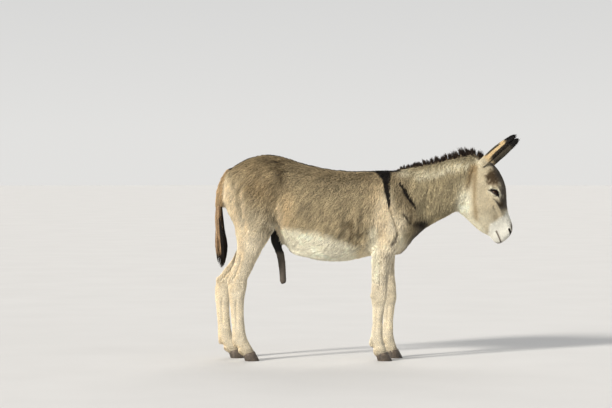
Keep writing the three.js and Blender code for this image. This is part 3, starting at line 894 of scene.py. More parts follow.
# The forms worked into the skin. Those of the legs are given for the right legs and serve both.
MUSCLES = (
    Swelling((-505, 150, 1140), (40, 60, 34), 7),
    Swelling((-470, 190, 1020), (52, 90, 66), -9),
    Swelling((-556, 150, 806), (38, 60, 36), 6),
    Swelling((-815, 80, 1085), (34, 60, 34), 5),
    Swelling((262, 120, 765), (40, 60, 44), 7),
    Swelling((58, 160, 800), (46, 60, 80), 10),
    Swelling((330, 60, 880), (40, 80, 60), -6),
    Swelling((570, 70, 1120), (30, 60, 70), -4),
    Ridge(((590, 1070), (562, 990), (540, 905)), 14, -6),
    Swelling((590, 78, 955), (36, 60, 84), 10),
    Ridge(((208, 1085), (237, 1030), (268, 980), (292, 930)), 18, -5),
    Ridge(((160, 1090), (140, 990), (150, 900)), 18, 8),
    Ridge(((182, 776), (166, 738), (146, 706)), 13, -8),
    Swelling((86, 160, 640), (50, 50, 60), 7),
    Ridge(((136, 935), (155, 874), (175, 800), (190, 765)), 12, -8),
    Ridge(((-30, 930), (-44, 850), (-46, 780), (-36, 700)), 15, -5),
    Ridge(((-775, 1060), (-765, 950), (-745, 840), (-735, 760)), 18, -7),
    Ridge(((-500, 1130), (-540, 1000), (-560, 880)), 26, -5),
    Ridge(((450, 1120), (400, 1000), (330, 900)), 30, -5),
)

FACE_BONES = (
    Swelling((733, 74, 1090), (21, 30, 19), -10),
    Swelling((775, 92, 1056), (30, 30, 11), 5),
    Swelling((640, 88, 965), (60, 50, 80), 7),
    Ridge(((668, 1060), (660, 960), (676, 870)), 20, -3),
    Swelling((765, 70, 885), (36, 40, 44), -5),
    Swelling((838, 42, 905), (16, 26, 44), -5),
    Swelling((862, 36, 792), (20, 20, 26), 6),
    Swelling((818, 34, 762), (30, 24, 26), 4),
    Swelling((776, 24, 716), (20, 26, 14), 4),
    Swelling((815, 0, 1100), (40, 34, 50), -2),
    Ridge(((765, 1036), (722, 1050), (684, 1078)), 11, 5),
    Ridge(((742, 992), (776, 965), (800, 930), (816, 896)), 9, 7),
    Ridge(((764, 946), (786, 915), (796, 880)), 10, -4),
    Ridge(((600, 905), (650, 850), (705, 800), (745, 775)), 12, 4),
)


LEG_BONES = (
    Swelling((84, 140, 560), (30, 40, 80), 5),
    Swelling((40, 138, 530), (20, 40, 70), 4),
    Ridge(((84, 620), (78, 540), (72, 440)), 8, -5),
    Swelling((62, 146, 372), (34, 22, 26), 5),
    Swelling((104, 128, 374), (20, 26, 30), 4),
    Swelling((26, 104, 398), (16, 26, 18), 5),
    Swelling((70, 142, 424), (26, 20, 20), -4),
    Swelling((58, 138, 322), (26, 20, 18), -3),
    Ridge(((60, 330), (54, 250), (48, 165)), 7, -5),
    Swelling((28, 132, 122), (18, 20, 18), 5),
    Swelling((78, 134, 124), (16, 16, 14), 3),
    Swelling((40, 104, 82), (18, 40, 14), -4),
    Swelling((-730, 165, 650), (44, 40, 60), 6),
    Ridge(((-762, 650), (-776, 590), (-800, 525), (-818, 488)), 12, -10),
    Swelling((-842, 110, 484), (16, 26, 20), 6),
    Swelling((-778, 150, 462), (30, 20, 22), 5),
    Swelling((-742, 146, 430), (18, 20, 22), 4),
    Swelling((-716, 112, 500), (18, 40, 20), -4),
    Swelling((-800, 146, 410), (26, 18, 22), -4),
    Ridge(((-792, 385), (-794, 300), (-790, 190)), 7, -5),
    Swelling((-812, 136, 120), (18, 20, 18), 5),
    Swelling((-752, 136, 124), (16, 16, 14), 3),
    Swelling((-792, 106, 80), (16, 40, 14), -4),
)


def on_right_legs(points: Array) -> Array:
    """The points, with the left legs moved to stand level with the right ones."""
    moved = points.copy()
    for pair, low, high, ahead in (("fore", 320, 760, True), ("hind", 380, 720, False)):
        left, right = (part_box(f"hoof_{pair}_{side}")[0].x / MM for side in ("left", "right"))
        here = (points[:, 1] > 0) & ((points[:, 0] > -250) == ahead)
        moved[:, 0] -= (left - right) * here * ramp(high, low, points[:, 2])
    return moved


@dataclass
class SkinField:
    """What the coat needs to know of the skin: arrays with one row for each vertex or triangle."""

    points: Array
    normals: Array
    parts: Array
    triangles: Array
    corners: Array
    spots: Array


@dataclass
class Skin:
    """The one skin over all the flesh, with the lids, nostrils and mouth worked into it."""

    markings: Markings
    cell: float = 8.7
    weld: float = 1.3
    smooth_all: int = 7
    smooth_trunk: int = 26
    trunk_span: tuple = (-820, 560)
    trunk_foot: float = 660.0
    bones: float = 1.3
    locks: float = 1.3
    face_line: tuple = ((540, 860), (590, 1000), (655, 1260))
    fine_reach: float = 44.0
    ear_cuts: tuple = (0, 1)
    ear_plunge: float = 16.0

    def build(self) -> SkinField:
        """Makes the skin's mesh, shapes it, paints it and puts it in the scene.

        Returns:
            The skin as the coat sees it.
        """
        mesh = self.refined(self.fused())
        tree, names = self.node_tree()
        points, normals = points_of(mesh), normals_of(mesh)
        parts = self.nearest_parts(points, tree, names)
        triangles = triangles_of(mesh)
        points = self.restored(points, normals, triangles, tree)
        points = self.shaped(points, normals, parts)
        points -= normals * self.depths(points, normals, triangles, parts)[:, None]
        move_points(mesh, points)
        self.open_face(mesh)
        whole = self.with_ears(mesh)
        self.unwrap(whole)
        points, normals = points_of(whole), normals_of(whole)
        parts = self.nearest_parts(points, *self.node_tree(EARS))
        bare = coat_bareness(points, parts)
        paint(whole, self.markings.colours(points, normals, parts), bare)
        install("skin", whole, SKIN, (*FLESH, *EARS))
        spots = read(whole.uv_layers[BAKE_MAP].uv, "vector", 2)
        return SkinField(points, normals, parts, triangles_of(whole), triangles_of(whole, "loops"), spots)

    def fused(self) -> Mesh:
        """The nodes of flesh and the eyeballs' plugs, fused into one even mesh."""
        whole = bmesh.new()
        for name in (*FLESH, *EYES):
            shell = merged_copy(name)
            for vert in shell.verts:
                vert.co += vert.normal * self.weld * MM
            part = as_mesh(shell, "part")
            whole.from_mesh(part)
            bpy.data.meshes.remove(part)
        piece = new_object("scratch", as_mesh(whole, "flesh"))
        cells = piece.modifiers.new("cells", "REMESH")
        cells.mode = "VOXEL"
        cells.voxel_size = self.cell * MM
        return evaluated(piece)

    def refined(self, mesh: Mesh) -> Mesh:
        """The fused mesh made smooth, and finer on the head and round its openings."""
        shell = bmesh.new()
        shell.from_mesh(mesh)
        self.relax(shell, list(shell.verts), self.smooth_all)
        back, front = (x * MM for x in self.trunk_span)
        trunk = [v for v in shell.verts if v.co.z > self.trunk_foot * MM and back < v.co.x < front]
        self.relax(shell, trunk, self.smooth_trunk)
        for chosen, times in ((self.on_head, 3), (self.near_opening, 2)):
            held = {v for v, use in zip(shell.verts, chosen(shell)) if use}
            edges = [e for e in shell.edges if e.verts[0] in held and e.verts[1] in held]
            bmesh.ops.subdivide_edges(shell, edges=edges, cuts=1, use_grid_fill=True)
            finer = [v for v, use in zip(shell.verts, chosen(shell)) if use]
            self.relax(shell, finer, times)
        bmesh.ops.triangulate(shell, faces=[f for f in shell.faces if len(f.verts) > 4])
        return as_mesh(shell, "skin")

    def relax(self, shell: bmesh.types.BMesh, verts: list, times: int) -> None:
        """Evens out some vertices of a shell."""
        for _ in range(times):
            bmesh.ops.smooth_vert(
                shell, verts=verts, factor=0.5, use_axis_x=True, use_axis_y=True, use_axis_z=True
            )

    def on_head(self, shell: bmesh.types.BMesh) -> Array:
        """Which vertices are on the head."""
        places = np.array([v.co for v in shell.verts]) / MM
        return (beyond(places[:, [0, 2]], self.face_line) < 0) & (places[:, 0] > 520) & (places[:, 2] > 690)

    def near_opening(self, shell: bmesh.types.BMesh) -> Array:
        """Which vertices are near an eye, a nostril or the mouth."""
        places = np.array([v.co for v in shell.verts]) / MM
        near = np.zeros(len(places), bool)
        for opening in OPENINGS:
            near |= np.linalg.norm(places - opening.centre, axis=1) < self.fine_reach
        flat = places[:, [0, 2]]
        near |= (path_distance(flat, NOSTRIL) < 22) & (places[:, 0] > 800)
        return near | ((path_distance(flat, MOUTH) < 11) & (places[:, 0] > 740))

    def node_tree(self, more: tuple = ()) -> tuple[BVHTree, list]:
        """A search tree over the nodes of flesh, and the node that each of its faces is from."""
        verts, faces, names = [], [], []
        for name in (*FLESH, *more):
            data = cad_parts[name].data
            start = len(verts)
            verts.extend(v.co.copy() for v in data.vertices)
            faces.extend([start + i for i in p.vertices] for p in data.polygons)
            names.extend([name] * len(data.polygons))
        return BVHTree.FromPolygons(verts, faces), names

    def nearest_parts(self, points: Array, tree: BVHTree, names: list) -> Array:
        """The node that each point stands for."""
        found = [names[tree.find_nearest(Vector(p))[2]] for p in points * MM]
        return np.array(found)

    def shaped(self, points: Array, normals: Array, parts: Array) -> Array:
        """The points with the muscles, the bones and the locks of the coat raised."""
        lift = np.zeros(len(points))
        for form in (*MUSCLES, *FACE_BONES):
            lift += form.lift(points, normals)
        standing = on_right_legs(points)
        for form in LEG_BONES:
            lift += self.bones * form.lift(standing, normals) * (points[:, 2] < 760)
        shaggy = ramp(12, 26, np.array([coat_kind(name).length for name in parts]))
        shaggy *= 1 - 0.8 * ramp(0.1, -0.45, normals[:, 2]) * ramp(-620, -560, points[:, 0])
        lift += self.locks * shaggy * streaks(Noise(77), points, hair_lie(points, normals, parts), 15, 15)
        return points + normals * lift[:, None]

    def restored(self, points: Array, normals: Array, triangles: Array, tree: BVHTree) -> Array:
        """The points moved evenly back to the flesh's own surface, which the smoothing had shrunk."""
        sunk = np.empty(len(points))
        for i, point in enumerate(points * MM):
            place, normal = tree.find_nearest(Vector(point))[:2]
            sunk[i] = (place - Vector(point)).dot(normal) / MM
        even = evened(sunk, triangles, 24)
        return points + normals * np.clip(even, -3, 14)[:, None]

    def depths(self, points: Array, normals: Array, triangles: Array, parts: Array) -> Array:
        """How far each point lies under the tips of the coat."""
        depth = evened(np.array([coat_kind(name).depth for name in parts]), triangles, 12)
        sole = ramp(78, 62, points[:, 2]) * ramp(-0.3, -0.7, normals[:, 2])
        return depth * (1 - sole) - 7 * sole

    def open_face(self, mesh: Mesh) -> None:
        """Drapes the lids, sinks the nostrils and draws the mouth."""
        points = points_of(mesh)
        for opening in OPENINGS:
            points = self.lids(points, opening)
        move_points(mesh, points)
        normals = normals_of(mesh)
        flat = points[:, [0, 2]]
        front = ramp(790, 810, points[:, 0])
        side = ramp(0.2, 0.5, np.abs(normals[:, 1])) * ramp(5, 12, np.abs(points[:, 1]))
        far = path_distance(flat, NOSTRIL)
        rim = 2.6 * bell(far - 9, 3.4) - 13 * bell(far, 4.8)
        lips, share, _ = follow(flat, MOUTH)
        mouth = (1.6 * bell(lips - 6, 3) - 4.5 * bell(lips, 2.6)) * ramp(-0.02, 0.15, share)
        lift = rim * front * side + mouth * ramp(740, 770, points[:, 0])
        move_points(mesh, points + normals * lift[:, None])

    def lids(self, points: Array, opening: EyeOpening) -> Array:
        """The points with one eye's lids draped over its ball."""
        height, length, across = opening.split(points)
        radius = np.hypot(length, across)
        shell = np.sqrt(np.maximum(opening.lid_shell**2 - radius**2, 0))
        cover = ramp(38, 19, radius) * (height > -8)
        top, bottom = opening.edges(length)
        middle = across > 0
        edge = np.where(middle, top, bottom)
        gap = np.where(middle, across - top, bottom - across)
        within = (np.abs(length) < opening.half_length) & (height > 0)
        snap = within & (np.abs(gap) < 1.3)
        across = np.where(snap, edge, across)
        inside = within & (gap < -1.3)
        upper_fold = 2.2 * bell(gap - 14, 5) - 2.0 * bell(gap - 8, 2.2)
        fold = np.where(middle, upper_fold, bell(gap - 11, 4) - bell(gap - 6, 2))
        height = height + cover * (shell - height) + fold * (height > 0) * (gap > 0)
        height = np.where(inside, opening.sunk, height)
        near = (radius < 60) & (height > -8)
        return np.where(near[:, None], opening.joined(height, length, across), points)

    def with_ears(self, mesh: Mesh) -> Mesh:
        """The skin with both ears added, rounded and rooted in the head."""
        whole = bmesh.new()
        whole.from_mesh(mesh)
        for ear in DONKEY_EARS:
            shell = merged_copy(ear.node)
            for times in self.ear_cuts:
                bmesh.ops.subdivide_edges(shell, edges=shell.edges, cuts=1, use_grid_fill=True)
                self.relax(shell, list(shell.verts), times)
            made = as_mesh(shell, "ear")
            points = points_of(made)
            share = ear.share(points)
            points -= ear.axis * (self.ear_plunge * ramp(0.16, 0.02, share))[:, None]
            move_points(made, points)
            whole.from_mesh(made)
            bpy.data.meshes.remove(made)
        return as_mesh(whole, "skin")

    def unwrap(self, mesh: Mesh) -> None:
        """Unwraps the skin by its own shape."""
        mesh.uv_layers.new(name=BAKE_MAP)
        piece = new_object("scratch", mesh)
        bpy.context.view_layer.objects.active = piece
        piece.select_set(True)
        bpy.ops.object.mode_set(mode="EDIT")
        bpy.ops.mesh.select_all(action="SELECT")
        bpy.ops.uv.smart_project(angle_limit=math.radians(72), island_margin=0.001)
        bpy.ops.object.mode_set(mode="OBJECT")
        bpy.data.objects.remove(piece)


# ---------------------------------------------------------------- hairs as solids


@dataclass
class Strands:
    """Many tapering hairs or tufts, each one closed solid with three sides."""

    lines: Array
    widths: Array
    up: Array
    colours: Array
    spots: Array
    flatness: float = 0.5
    patch: float = 0.0015
    contrast: Array | float = 1.0
    even: float = 0.68

    def mesh(self, name: str) -> Mesh:
        """The hairs as one mesh, with the bake's map and the painted colour.

        Args:
            name: the mesh's name.

        Returns:
            A mesh in which each hair is a row of triangular rings that ends in a point.
        """
        count, steps = self.lines.shape[:2]
        rings = steps - 1
        size = 3 * rings + 1
        ahead = unit(self.lines[:, 1:] - self.lines[:, :-1])
        ahead[:, 1:] = unit(ahead[:, 1:] + ahead[:, :-1])
        side = unit(np.cross(ahead, self.up[:, None, :]))
        rise = np.cross(side, ahead)
        wide = self.widths[:, :, None]
        solid = np.empty((count, size, 3))
        base = self.lines[:, :rings]
        solid[:, 0 : 3 * rings : 3] = base - side * wide
        solid[:, 1 : 3 * rings : 3] = base + side * wide
        solid[:, 2 : 3 * rings : 3] = base + rise * wide * self.flatness * 2
        solid[:, -1] = self.lines[:, -1]
        loops, totals, places = self.template(rings)
        mesh = bpy.data.meshes.new(name)
        mesh.vertices.add(count * size)
        mesh.vertices.foreach_set("co", (solid * MM).astype(np.float32).ravel())
        mesh.loops.add(count * len(loops))
        offsets = np.arange(count)[:, None] * size
        mesh.loops.foreach_set("vertex_index", (loops[None, :] + offsets).astype(np.int32).ravel())
        mesh.polygons.add(count * len(totals))
        starts = np.concatenate([[0], np.cumsum(np.tile(totals, count))[:-1]])
        mesh.polygons.foreach_set("loop_start", starts.astype(np.int32))
        mesh.update(calc_edges=True)
        layer = mesh.uv_layers.new(name=BAKE_MAP)
        spread = self.spots[:, None, :] + places[None] * self.patch
        layer.uv.foreach_set("vector", spread.astype(np.float32).ravel())
        along = np.append(np.repeat(np.arange(rings) / rings, 3), 1.0)
        contrast = np.broadcast_to(self.contrast, count)[:, None]
        along = self.even + (along - self.even) * contrast
        paint(mesh, np.repeat(self.colours, size, axis=0), along.ravel())
        return mesh

    @staticmethod
    def template(rings: int) -> tuple[Array, Array, Array]:
        """The faces of one hair.

        Args:
            rings: how many rings it has before its point.

        Returns:
            The vertex at each corner, the corners in each face, and each corner's place in the map's patch.
        """
        order = ((1, 0), (0, 2), (2, 1))
        spokes = np.radians([210.0, 330.0, 90.0])
        corners, totals, places = [0, 1, 2], [3], []
        places += [(0.85 + 0.1 * math.cos(a), 0.85 + 0.1 * math.sin(a)) for a in spokes]

        def place(ring: int, spoke: int) -> tuple:
            """A ring's corner on the patch, with the tip in the middle."""
            reach = 1 - ring / rings
            return reach * math.cos(spokes[spoke]), reach * math.sin(spokes[spoke])

        for ring in range(rings):
            for first, last in order:
                if ring < rings - 1:
                    quad = ((ring, first), (ring, last), (ring + 1, last), (ring + 1, first))
                    corners += [3 * r + c for r, c in quad]
                    places += [place(r, c) for r, c in quad]
                    totals.append(4)
                else:
                    corners += [3 * ring + first, 3 * ring + last, 3 * rings]
                    places += [place(ring, first), place(ring, last), (0.0, 0.0)]
                    totals.append(3)
        return np.array(corners), np.array(totals), np.array(places)


# ---------------------------------------------------------------- the coat


@dataclass(frozen=True)
class CoatKind:
    """How hair grows on one part of the animal."""

    depth: float
    length: float
    width: float
    spacing: float
    rise: float = 17.0


KINDS = {
    "trunk": CoatKind(8.5, 25, 1.9, 5.8),
    "neck": CoatKind(8.5, 27, 1.7, 5.2),
    "head": CoatKind(3.2, 9.2, 1.08, 3.6, 14),
    "ear": CoatKind(0.0, 10, 1.0, 3.6, 12),
    "upper_leg": CoatKind(6.0, 17, 1.7, 5.2, 14),
    "lower_leg": CoatKind(3.7, 10.5, 1.25, 4.1, 9),
    "dock": CoatKind(4.0, 22, 1.5, 4.6, 12),
    "sheath": CoatKind(0.5, 10, 1.2, 5.0),
}


def coat_kind(node: str) -> CoatKind:
    """The hair that grows on a node."""
    if node in KINDS:
        return KINDS[node]
    if node.startswith("ear"):
        return KINDS["ear"]
    if node.endswith(("forearm", "gaskin")):
        return KINDS["upper_leg"]
    if node.endswith(("cannon", "pastern")):
        return KINDS["lower_leg"]
    return KINDS["dock" if node == "tail_dock" else "trunk"]


def coat_bareness(points: Array, parts: Array) -> Array:
    """1 where the skin shows bare, such as the lids, nostrils, lips and sheath, and 0 under hair."""
    flat = points[:, [0, 2]]
    bare = ramp(3.5, 1.5, np.minimum(*(opening.gap(points) for opening in OPENINGS)))
    face = ramp(740, 780, points[:, 0])
    bare = np.maximum(bare, face * ramp(7.5, 5, path_distance(flat, NOSTRIL)))
    bare = np.maximum(bare, face * ramp(2.6, 1.4, path_distance(flat, MOUTH)))
    return np.maximum(bare, (parts == "sheath") * ramp(790, 770, points[:, 2]))


# The lie of the hair: places (x, z) in the side view, and the way that it points there along x and z.
LIE = (
    (-300, 1000, -0.60, -0.80), (-100, 1000, -0.55, -0.84), (-300, 1180, -0.90, -0.42),
    (0, 1100, -0.52, -0.85), (-300, 800, -0.66, -0.75), (-100, 760, -0.50, -0.87),
    (-300, 640, -0.90, -0.30), (-480, 950, -0.55, -0.84), (-480, 830, -0.45, -0.90),
    (-600, 1200, -0.85, -0.52), (-720, 1150, -0.74, -0.67), (-820, 1000, -0.40, -0.92),
    (-650, 1000, -0.58, -0.81), (-700, 850, -0.55, -0.83), (-650, 740, -0.42, -0.90),
    (-720, 600, -0.25, -0.97), (-800, 440, 0.05, -1.0), (-780, 200, 0.0, -1.0),
    (150, 1050, -0.30, -0.95), (110, 850, -0.18, -0.98), (250, 880, -0.15, -0.98),
    (110, 600, 0.0, -1.0), (90, 300, 0.0, -1.0), (110, 100, 0.1, -1.0),
    (350, 1100, -0.28, -0.96), (500, 1150, -0.25, -0.97), (600, 1120, -0.12, -0.99),
    (450, 950, -0.22, -0.97), (600, 1210, -0.40, -0.90), (300, 780, 0.0, -1.0),
    (640, 1150, -0.15, -0.99), (600, 960, -0.15, -0.99), (700, 1000, 0.12, -0.99),
    (740, 1150, 0.25, -0.97), (700, 850, 0.32, -0.95), (800, 950, 0.28, -0.96),
    (850, 800, 0.15, -0.99),
)


def hair_lie(points: Array, normals: Array, parts: Array) -> Array:
    """The way that the hair lies at each point."""
    guides = np.array(LIE)
    off = points[:, None, [0, 2]] - guides[None, :, :2]
    weight = 1 / (dot(off, off) + 60.0**2) ** 2
    flow = weight @ guides[:, 2:] / weight.sum(1, keepdims=True)
    way = np.column_stack([flow[:, 0], np.zeros(len(points)), flow[:, 1]])
    for ear in DONKEY_EARS:
        way[parts == ear.node] = ear.axis
    way[parts == "tail_dock"] = (-0.1, 0.0, -1.0)
    return along_surface(way, normals)


def streaks(noise: Noise, points: Array, way: Array, reach: float, size: float) -> Array:
    """A random field drawn out along the hair, over reach on each side."""
    steps = np.linspace(-1, 1, 5)
    return sum(noise.at(points + way * reach * step, size) for step in steps) / math.sqrt(len(steps))


def sleek_shoulder(points: Array) -> Array:
    """How flat and even the hair lies at each point over the arm's upper bone, from 0 to 1."""
    return spot(points, (120, 840), (80, 170))


@dataclass
class Coat:
    """The short hair, as tufts that lie along the body."""

    skin: SkinField
    markings: Markings
    seed: int = 5
    sway: float = 20.0
    toss: float = 10.0
    curl: float = 9.0
    sunk: float = 1.2
    noise: Noise = Noise(23)
    limit: int = 19500

    def build(self) -> None:
        """Grows the tufts and puts them in the scene, a patch of the body to a piece."""
        face, share = self.sow()
        corner = self.skin.triangles[face]
        weigh = share[:, :, None]
        points = (self.skin.points[corner] * weigh).sum(1)
        normals = unit((self.skin.normals[corner] * weigh).sum(1))
        spots = (self.skin.spots[self.skin.corners[face]] * weigh).sum(1)
        parts = self.skin.parts[corner[np.arange(len(face)), share.argmax(1)]]
        keep = coat_bareness(points, parts) < 0.4
        points, normals, spots, parts = points[keep], normals[keep], spots[keep], parts[keep]
        size = {name: (self.sizes[name][corner] * share).sum(1)[keep] for name in self.sizes}
        colours = self.markings.colours(points, normals, parts)
        light = self.tones(points, hair_lie(points, normals, parts), size) - 1
        pale = ramp(0.4, 0.75, colours.mean(1))
        light *= 1 - 0.7 * pale
        colours = colours * (1 + light)[:, None]
        lines, widths = self.laid(points, normals, parts, size)
        # How strongly the painted shade at the roots and the painted light at the tips show: less on short
        # and pale hair.
        contrast = (1 - 0.7 * ramp(18, 10, size["length"])) * (1 - 0.6 * pale)
        for name, nodes, mask in self.patches(points, parts):
            chosen = np.flatnonzero(mask)
            if len(chosen) > self.limit:
                LOG.warning("%s holds %d tufts, thinned to %d", name, len(chosen), self.limit)
                chosen = chosen[np.linspace(0, len(chosen) - 1, self.limit).astype(int)]
            strands = Strands(
                lines[chosen], widths[chosen], normals[chosen], colours[chosen], spots[chosen],
                contrast=contrast[chosen],
            )
            install(name, strands.mesh(name), HAIR, nodes)

    def sow(self) -> tuple[Array, Array]:
        """Where the tufts are rooted: each one's triangle, and its place in it as three shares."""
        points, triangles = self.skin.points, self.skin.triangles
        kinds = [coat_kind(name) for name in self.skin.parts]
        self.sizes = {
            name: evened(np.array([getattr(kind, name) for kind in kinds], float), triangles, 14)
            for name in ("length", "width", "spacing", "rise")
        }
        self.vary(self.sizes)
        a, b, c = (points[triangles[:, i]] for i in range(3))
        area = np.linalg.norm(np.cross(b - a, c - a), axis=1) / 2
        spacing = self.sizes["spacing"][triangles].mean(1)
        wanted = area / spacing**2 * 1.0
        random = np.random.default_rng(self.seed)
        stops = np.floor(np.concatenate([[0], np.cumsum(wanted)]) + 0.5).astype(int)
        face = np.repeat(np.arange(len(triangles)), np.diff(stops))
        share = random.random((len(face), 2))
        share = np.where(share.sum(1, keepdims=True) > 1, 1 - share, share)
        return face, np.column_stack([share, 1 - share.sum(1)])

    def vary(self, sizes: dict) -> None:
        """Makes the hair longer on belly, elbow, jaw, heels and in the ears, and shorter on the muzzle."""
        x, _, z = self.skin.points.T
        under = ramp(0.2, -0.7, self.skin.normals[:, 2]) * ramp(560, 600, z)
        belly = under * ramp(300, 200, x) * ramp(-480, -430, x)
        elbow = spot(self.skin.points, (-40, 800), (70, 90))
        jaw = spot(self.skin.points, (590, 940), (40, 80))
        sizes["length"] *= 1 + 0.25 * belly + 0.45 * elbow + 0.5 * jaw
        sizes["width"] *= 1 + 0.25 * elbow
        sizes["rise"] += 8 * elbow - 7 * belly - 8 * sleek_shoulder(self.skin.points)
        muzzle = ramp(860, 800, z) * ramp(720, 780, x)
        eyes = np.minimum(*(opening.gap(self.skin.points) for opening in OPENINGS))
        short = np.maximum(muzzle, ramp(22, 6, eyes))
        heel = ramp(-0.2, -0.8, self.skin.normals[:, 0]) * bell(z - 112, 22)
        sizes["length"] *= 1 + 0.7 * ramp(76, 56, z) + 1.3 * heel
        sizes["rise"] += 10 * heel
        sizes["length"] *= 1 - 0.45 * short
        sizes["width"] *= 1 - 0.3 * short
        sizes["spacing"] *= 1 - 0.22 * short
        for ear in DONKEY_EARS:
            cup = (self.skin.parts == ear.node) * ear.inside(self.skin.points, self.skin.normals)
            sizes["length"] *= 1 + 0.9 * cup
            sizes["rise"] += 14 * cup

    def tones(self, points: Array, way: Array, size: dict) -> Array:
        """How light each tuft is beside the marking under it, in streaks that run with the hair."""
        random = np.random.default_rng(self.seed + 1)
        strength = ramp(9, 24, size["length"])
        fine = streaks(self.noise, points, way, 17, 7)
        broad = streaks(self.noise, points + 700, way, 30, 21)
        change = (0.04 + 0.33 * strength) * fine + (0.02 + 0.11 * strength) * broad
        change *= 1 + 1.1 * spot(points, (-30, 745), (75, 110))
        change *= 1 - 0.65 * sleek_shoulder(points)
        return np.clip(1 + change + 0.05 * random.standard_normal(len(points)), 0.42, 1.7)

    def laid(self, points: Array, normals: Array, parts: Array, size: dict) -> tuple:
        """The tufts' lines and half widths."""
        random = np.random.default_rng(self.seed + 2)
        way = hair_lie(points, normals, parts)
        across = np.cross(normals, way)
        short = ramp(20, 9, size["length"])
        sway = self.noise.at(points, 46) + 0.7 * self.noise.at(points + 900, 15)
        sway *= self.sway * (1 - 0.5 * short)
        turn = np.radians(sway + self.toss * random.standard_normal(len(points)))[:, None]
        way = way * np.cos(turn) + across * np.sin(turn)
        lift = 4.5 * self.noise.at(points + 300, 17) + 2.5 * random.standard_normal(len(points))
        start = np.radians(np.clip(size["rise"] + self.curl + lift, 6, 60))[:, None]
        end = np.radians(np.clip(size["rise"] - self.curl + lift, 0, 50))[:, None]
        length = (size["length"] * random.uniform(0.8, 1.2, len(points)))[:, None]
        root = points - normals * self.sunk
        middle = root + (way * np.cos(start) + normals * np.sin(start)) * length * 0.5
        tip = middle + (way * np.cos(end) + normals * np.sin(end)) * length * 0.5
        lines = np.stack([root, middle, tip], axis=1)
        width = size["width"] * random.uniform(0.8, 1.2, len(points))
        return lines, np.column_stack([width, width * 0.8])

    def patches(self, points: Array, parts: Array) -> list:
        """The coat's pieces: each one's name, the nodes it stands for and which tufts it holds."""
        sides = (("right", points[:, 1] < 0), ("left", points[:, 1] >= 0))
        found = [
            (f"coat_{name}_{side}", (name,), (parts == name) & here)
            for name in ("rump", "barrel", "shoulders", "neck", "head")
            for side, here in sides
        ]
        groups = {leg: tuple(n for n in LEG_NODES if n.startswith(leg)) for leg in LEGS}
        groups |= {"ears": EARS, "tail_dock": ("tail_dock", "sheath")}
        return found + [(f"coat_{name}", nodes, np.isin(parts, nodes)) for name, nodes in groups.items()]


# ---------------------------------------------------------------- mane and tail


@dataclass
class Mane:
    """The upright mane, in dark spiky locks along the crest."""

    skin: SkinField
    locks: int = 290
    hairs: int = 14
    start: float = 188.0
    end: float = 716.0
    half_width: float = 11.0
    spike: float = 11.0
    sunk: float = 5.0
    heights: tuple = (
        (188, 16), (217, 30), (293, 44), (370, 50), (446, 54), (522, 58), (620, 66), (690, 68), (716, 50),
    )
    dark: tuple = (30, 22, 17)
    sheen: tuple = (44, 34, 24)
    pale: tuple = (176, 160, 128)
    seed: int = 31

    def stand(self, random: np.random.Generator) -> tuple[Array, Array, Array]:
        """Each lock's place (x, y), its height and the way that it leans."""
        count = self.locks // 1
        x = self.start + (self.end - self.start) * (np.arange(count) + random.random(count)) / count
        y = random.uniform(-1, 1, count) * self.half_width
        height = np.interp(x, *np.array(self.heights, float).T) * random.uniform(0.8, 1.08, count)
        height *= 1 - 0.3 * (np.abs(y) / self.half_width) ** 2
        spike = ((x - self.start) / self.spike + 0.3 * random.standard_normal(count)).astype(int)
        middle = self.start + (spike + 0.5) * self.spike
        height *= random.uniform(0.7, 1.14, spike.max() + 1)[spike]
        height *= 1.04 - 0.26 * np.clip(np.abs(x - middle) / self.spike, 0, 1)
        ahead = 0.7 * (middle - x) / height + random.normal(-0.08, 0.16, spike.max() + 1)[spike]
        ahead += random.normal(0, 0.06, count)
        lean = np.column_stack([ahead, random.normal(0, 0.07, count) + y * 0.01, np.ones(count)])
        return np.column_stack([x, y]), height, lean

    def build(self) -> None:
        """Stands the locks on the crest and puts them in the scene."""
        random = np.random.default_rng(self.seed)
        place, height, lean = (np.repeat(rows, self.hairs, axis=0) for rows in self.stand(random))
        total = len(place)
        foot = np.column_stack([place, np.zeros(total)]) + random.normal(0, 3.0, (total, 3)) * [1, 1, 0]
        foot[:, 2] = self.crest(foot) - self.sunk
        gather = lean + random.normal(0, 0.05, (total, 3))
        tall = (height * random.uniform(0.75, 1.05, total) + self.sunk)[:, None]
        steps = np.array([0, 0.35, 0.7, 1.0])
        bow = np.column_stack([random.normal(0, 0.1, total), random.normal(0, 0.08, total), np.zeros(total)])
        inward = (place - foot[:, :2]) * 0.85
        lines = foot[:, None] + unit(gather)[:, None] * (tall * steps)[:, :, None]
        lines += bow[:, None] * (tall * steps**2)[:, :, None]
        lines[:, :, :2] += inward[:, None] * (steps**1.5)[None, :, None]
        widths = random.uniform(1.2, 1.9, total)[:, None] * np.array([1.0, 0.9, 0.6])
        dark = np.array(self.dark) + np.array(self.sheen) * random.random((total, 1)) ** 2
        edge = (np.abs(foot[:, 1]) > self.half_width * 0.8)[:, None] * (random.random((total, 1)) < 0.8)
        lines += (foot[:, None] - lines) * (0.45 * edge)[:, :, None]
        colours = linear(dark + (np.array(self.pale) - dark) * edge * 0.7)
        along = (place[:, 0] - self.start) / (self.end - self.start)
        spots = np.column_stack([along, 0.5 + place[:, 1] / 40])
        up = np.tile([1.0, 0.3, 0.0], (total, 1))
        strands = Strands(lines, widths, up, colours, spots * 0.98 + 0.01, 0.7)
        install("mane_hair", strands.mesh("mane_hair"), LONG_HAIR, ("mane",))

    def crest(self, places: Array) -> Array:
        """The height of the skin's top at each place."""
        tree = BVHTree.FromPolygons([Vector(p) for p in self.skin.points], self.skin.triangles.tolist())
        found = []
        for x, y, _ in places:
            start = Vector((min(x, 700.0), y, 1320.0))
            hit = tree.ray_cast(start, Vector((0, 0, -1)))[0]
            found.append(hit.z if hit else 1200.0)
        return np.array(found)


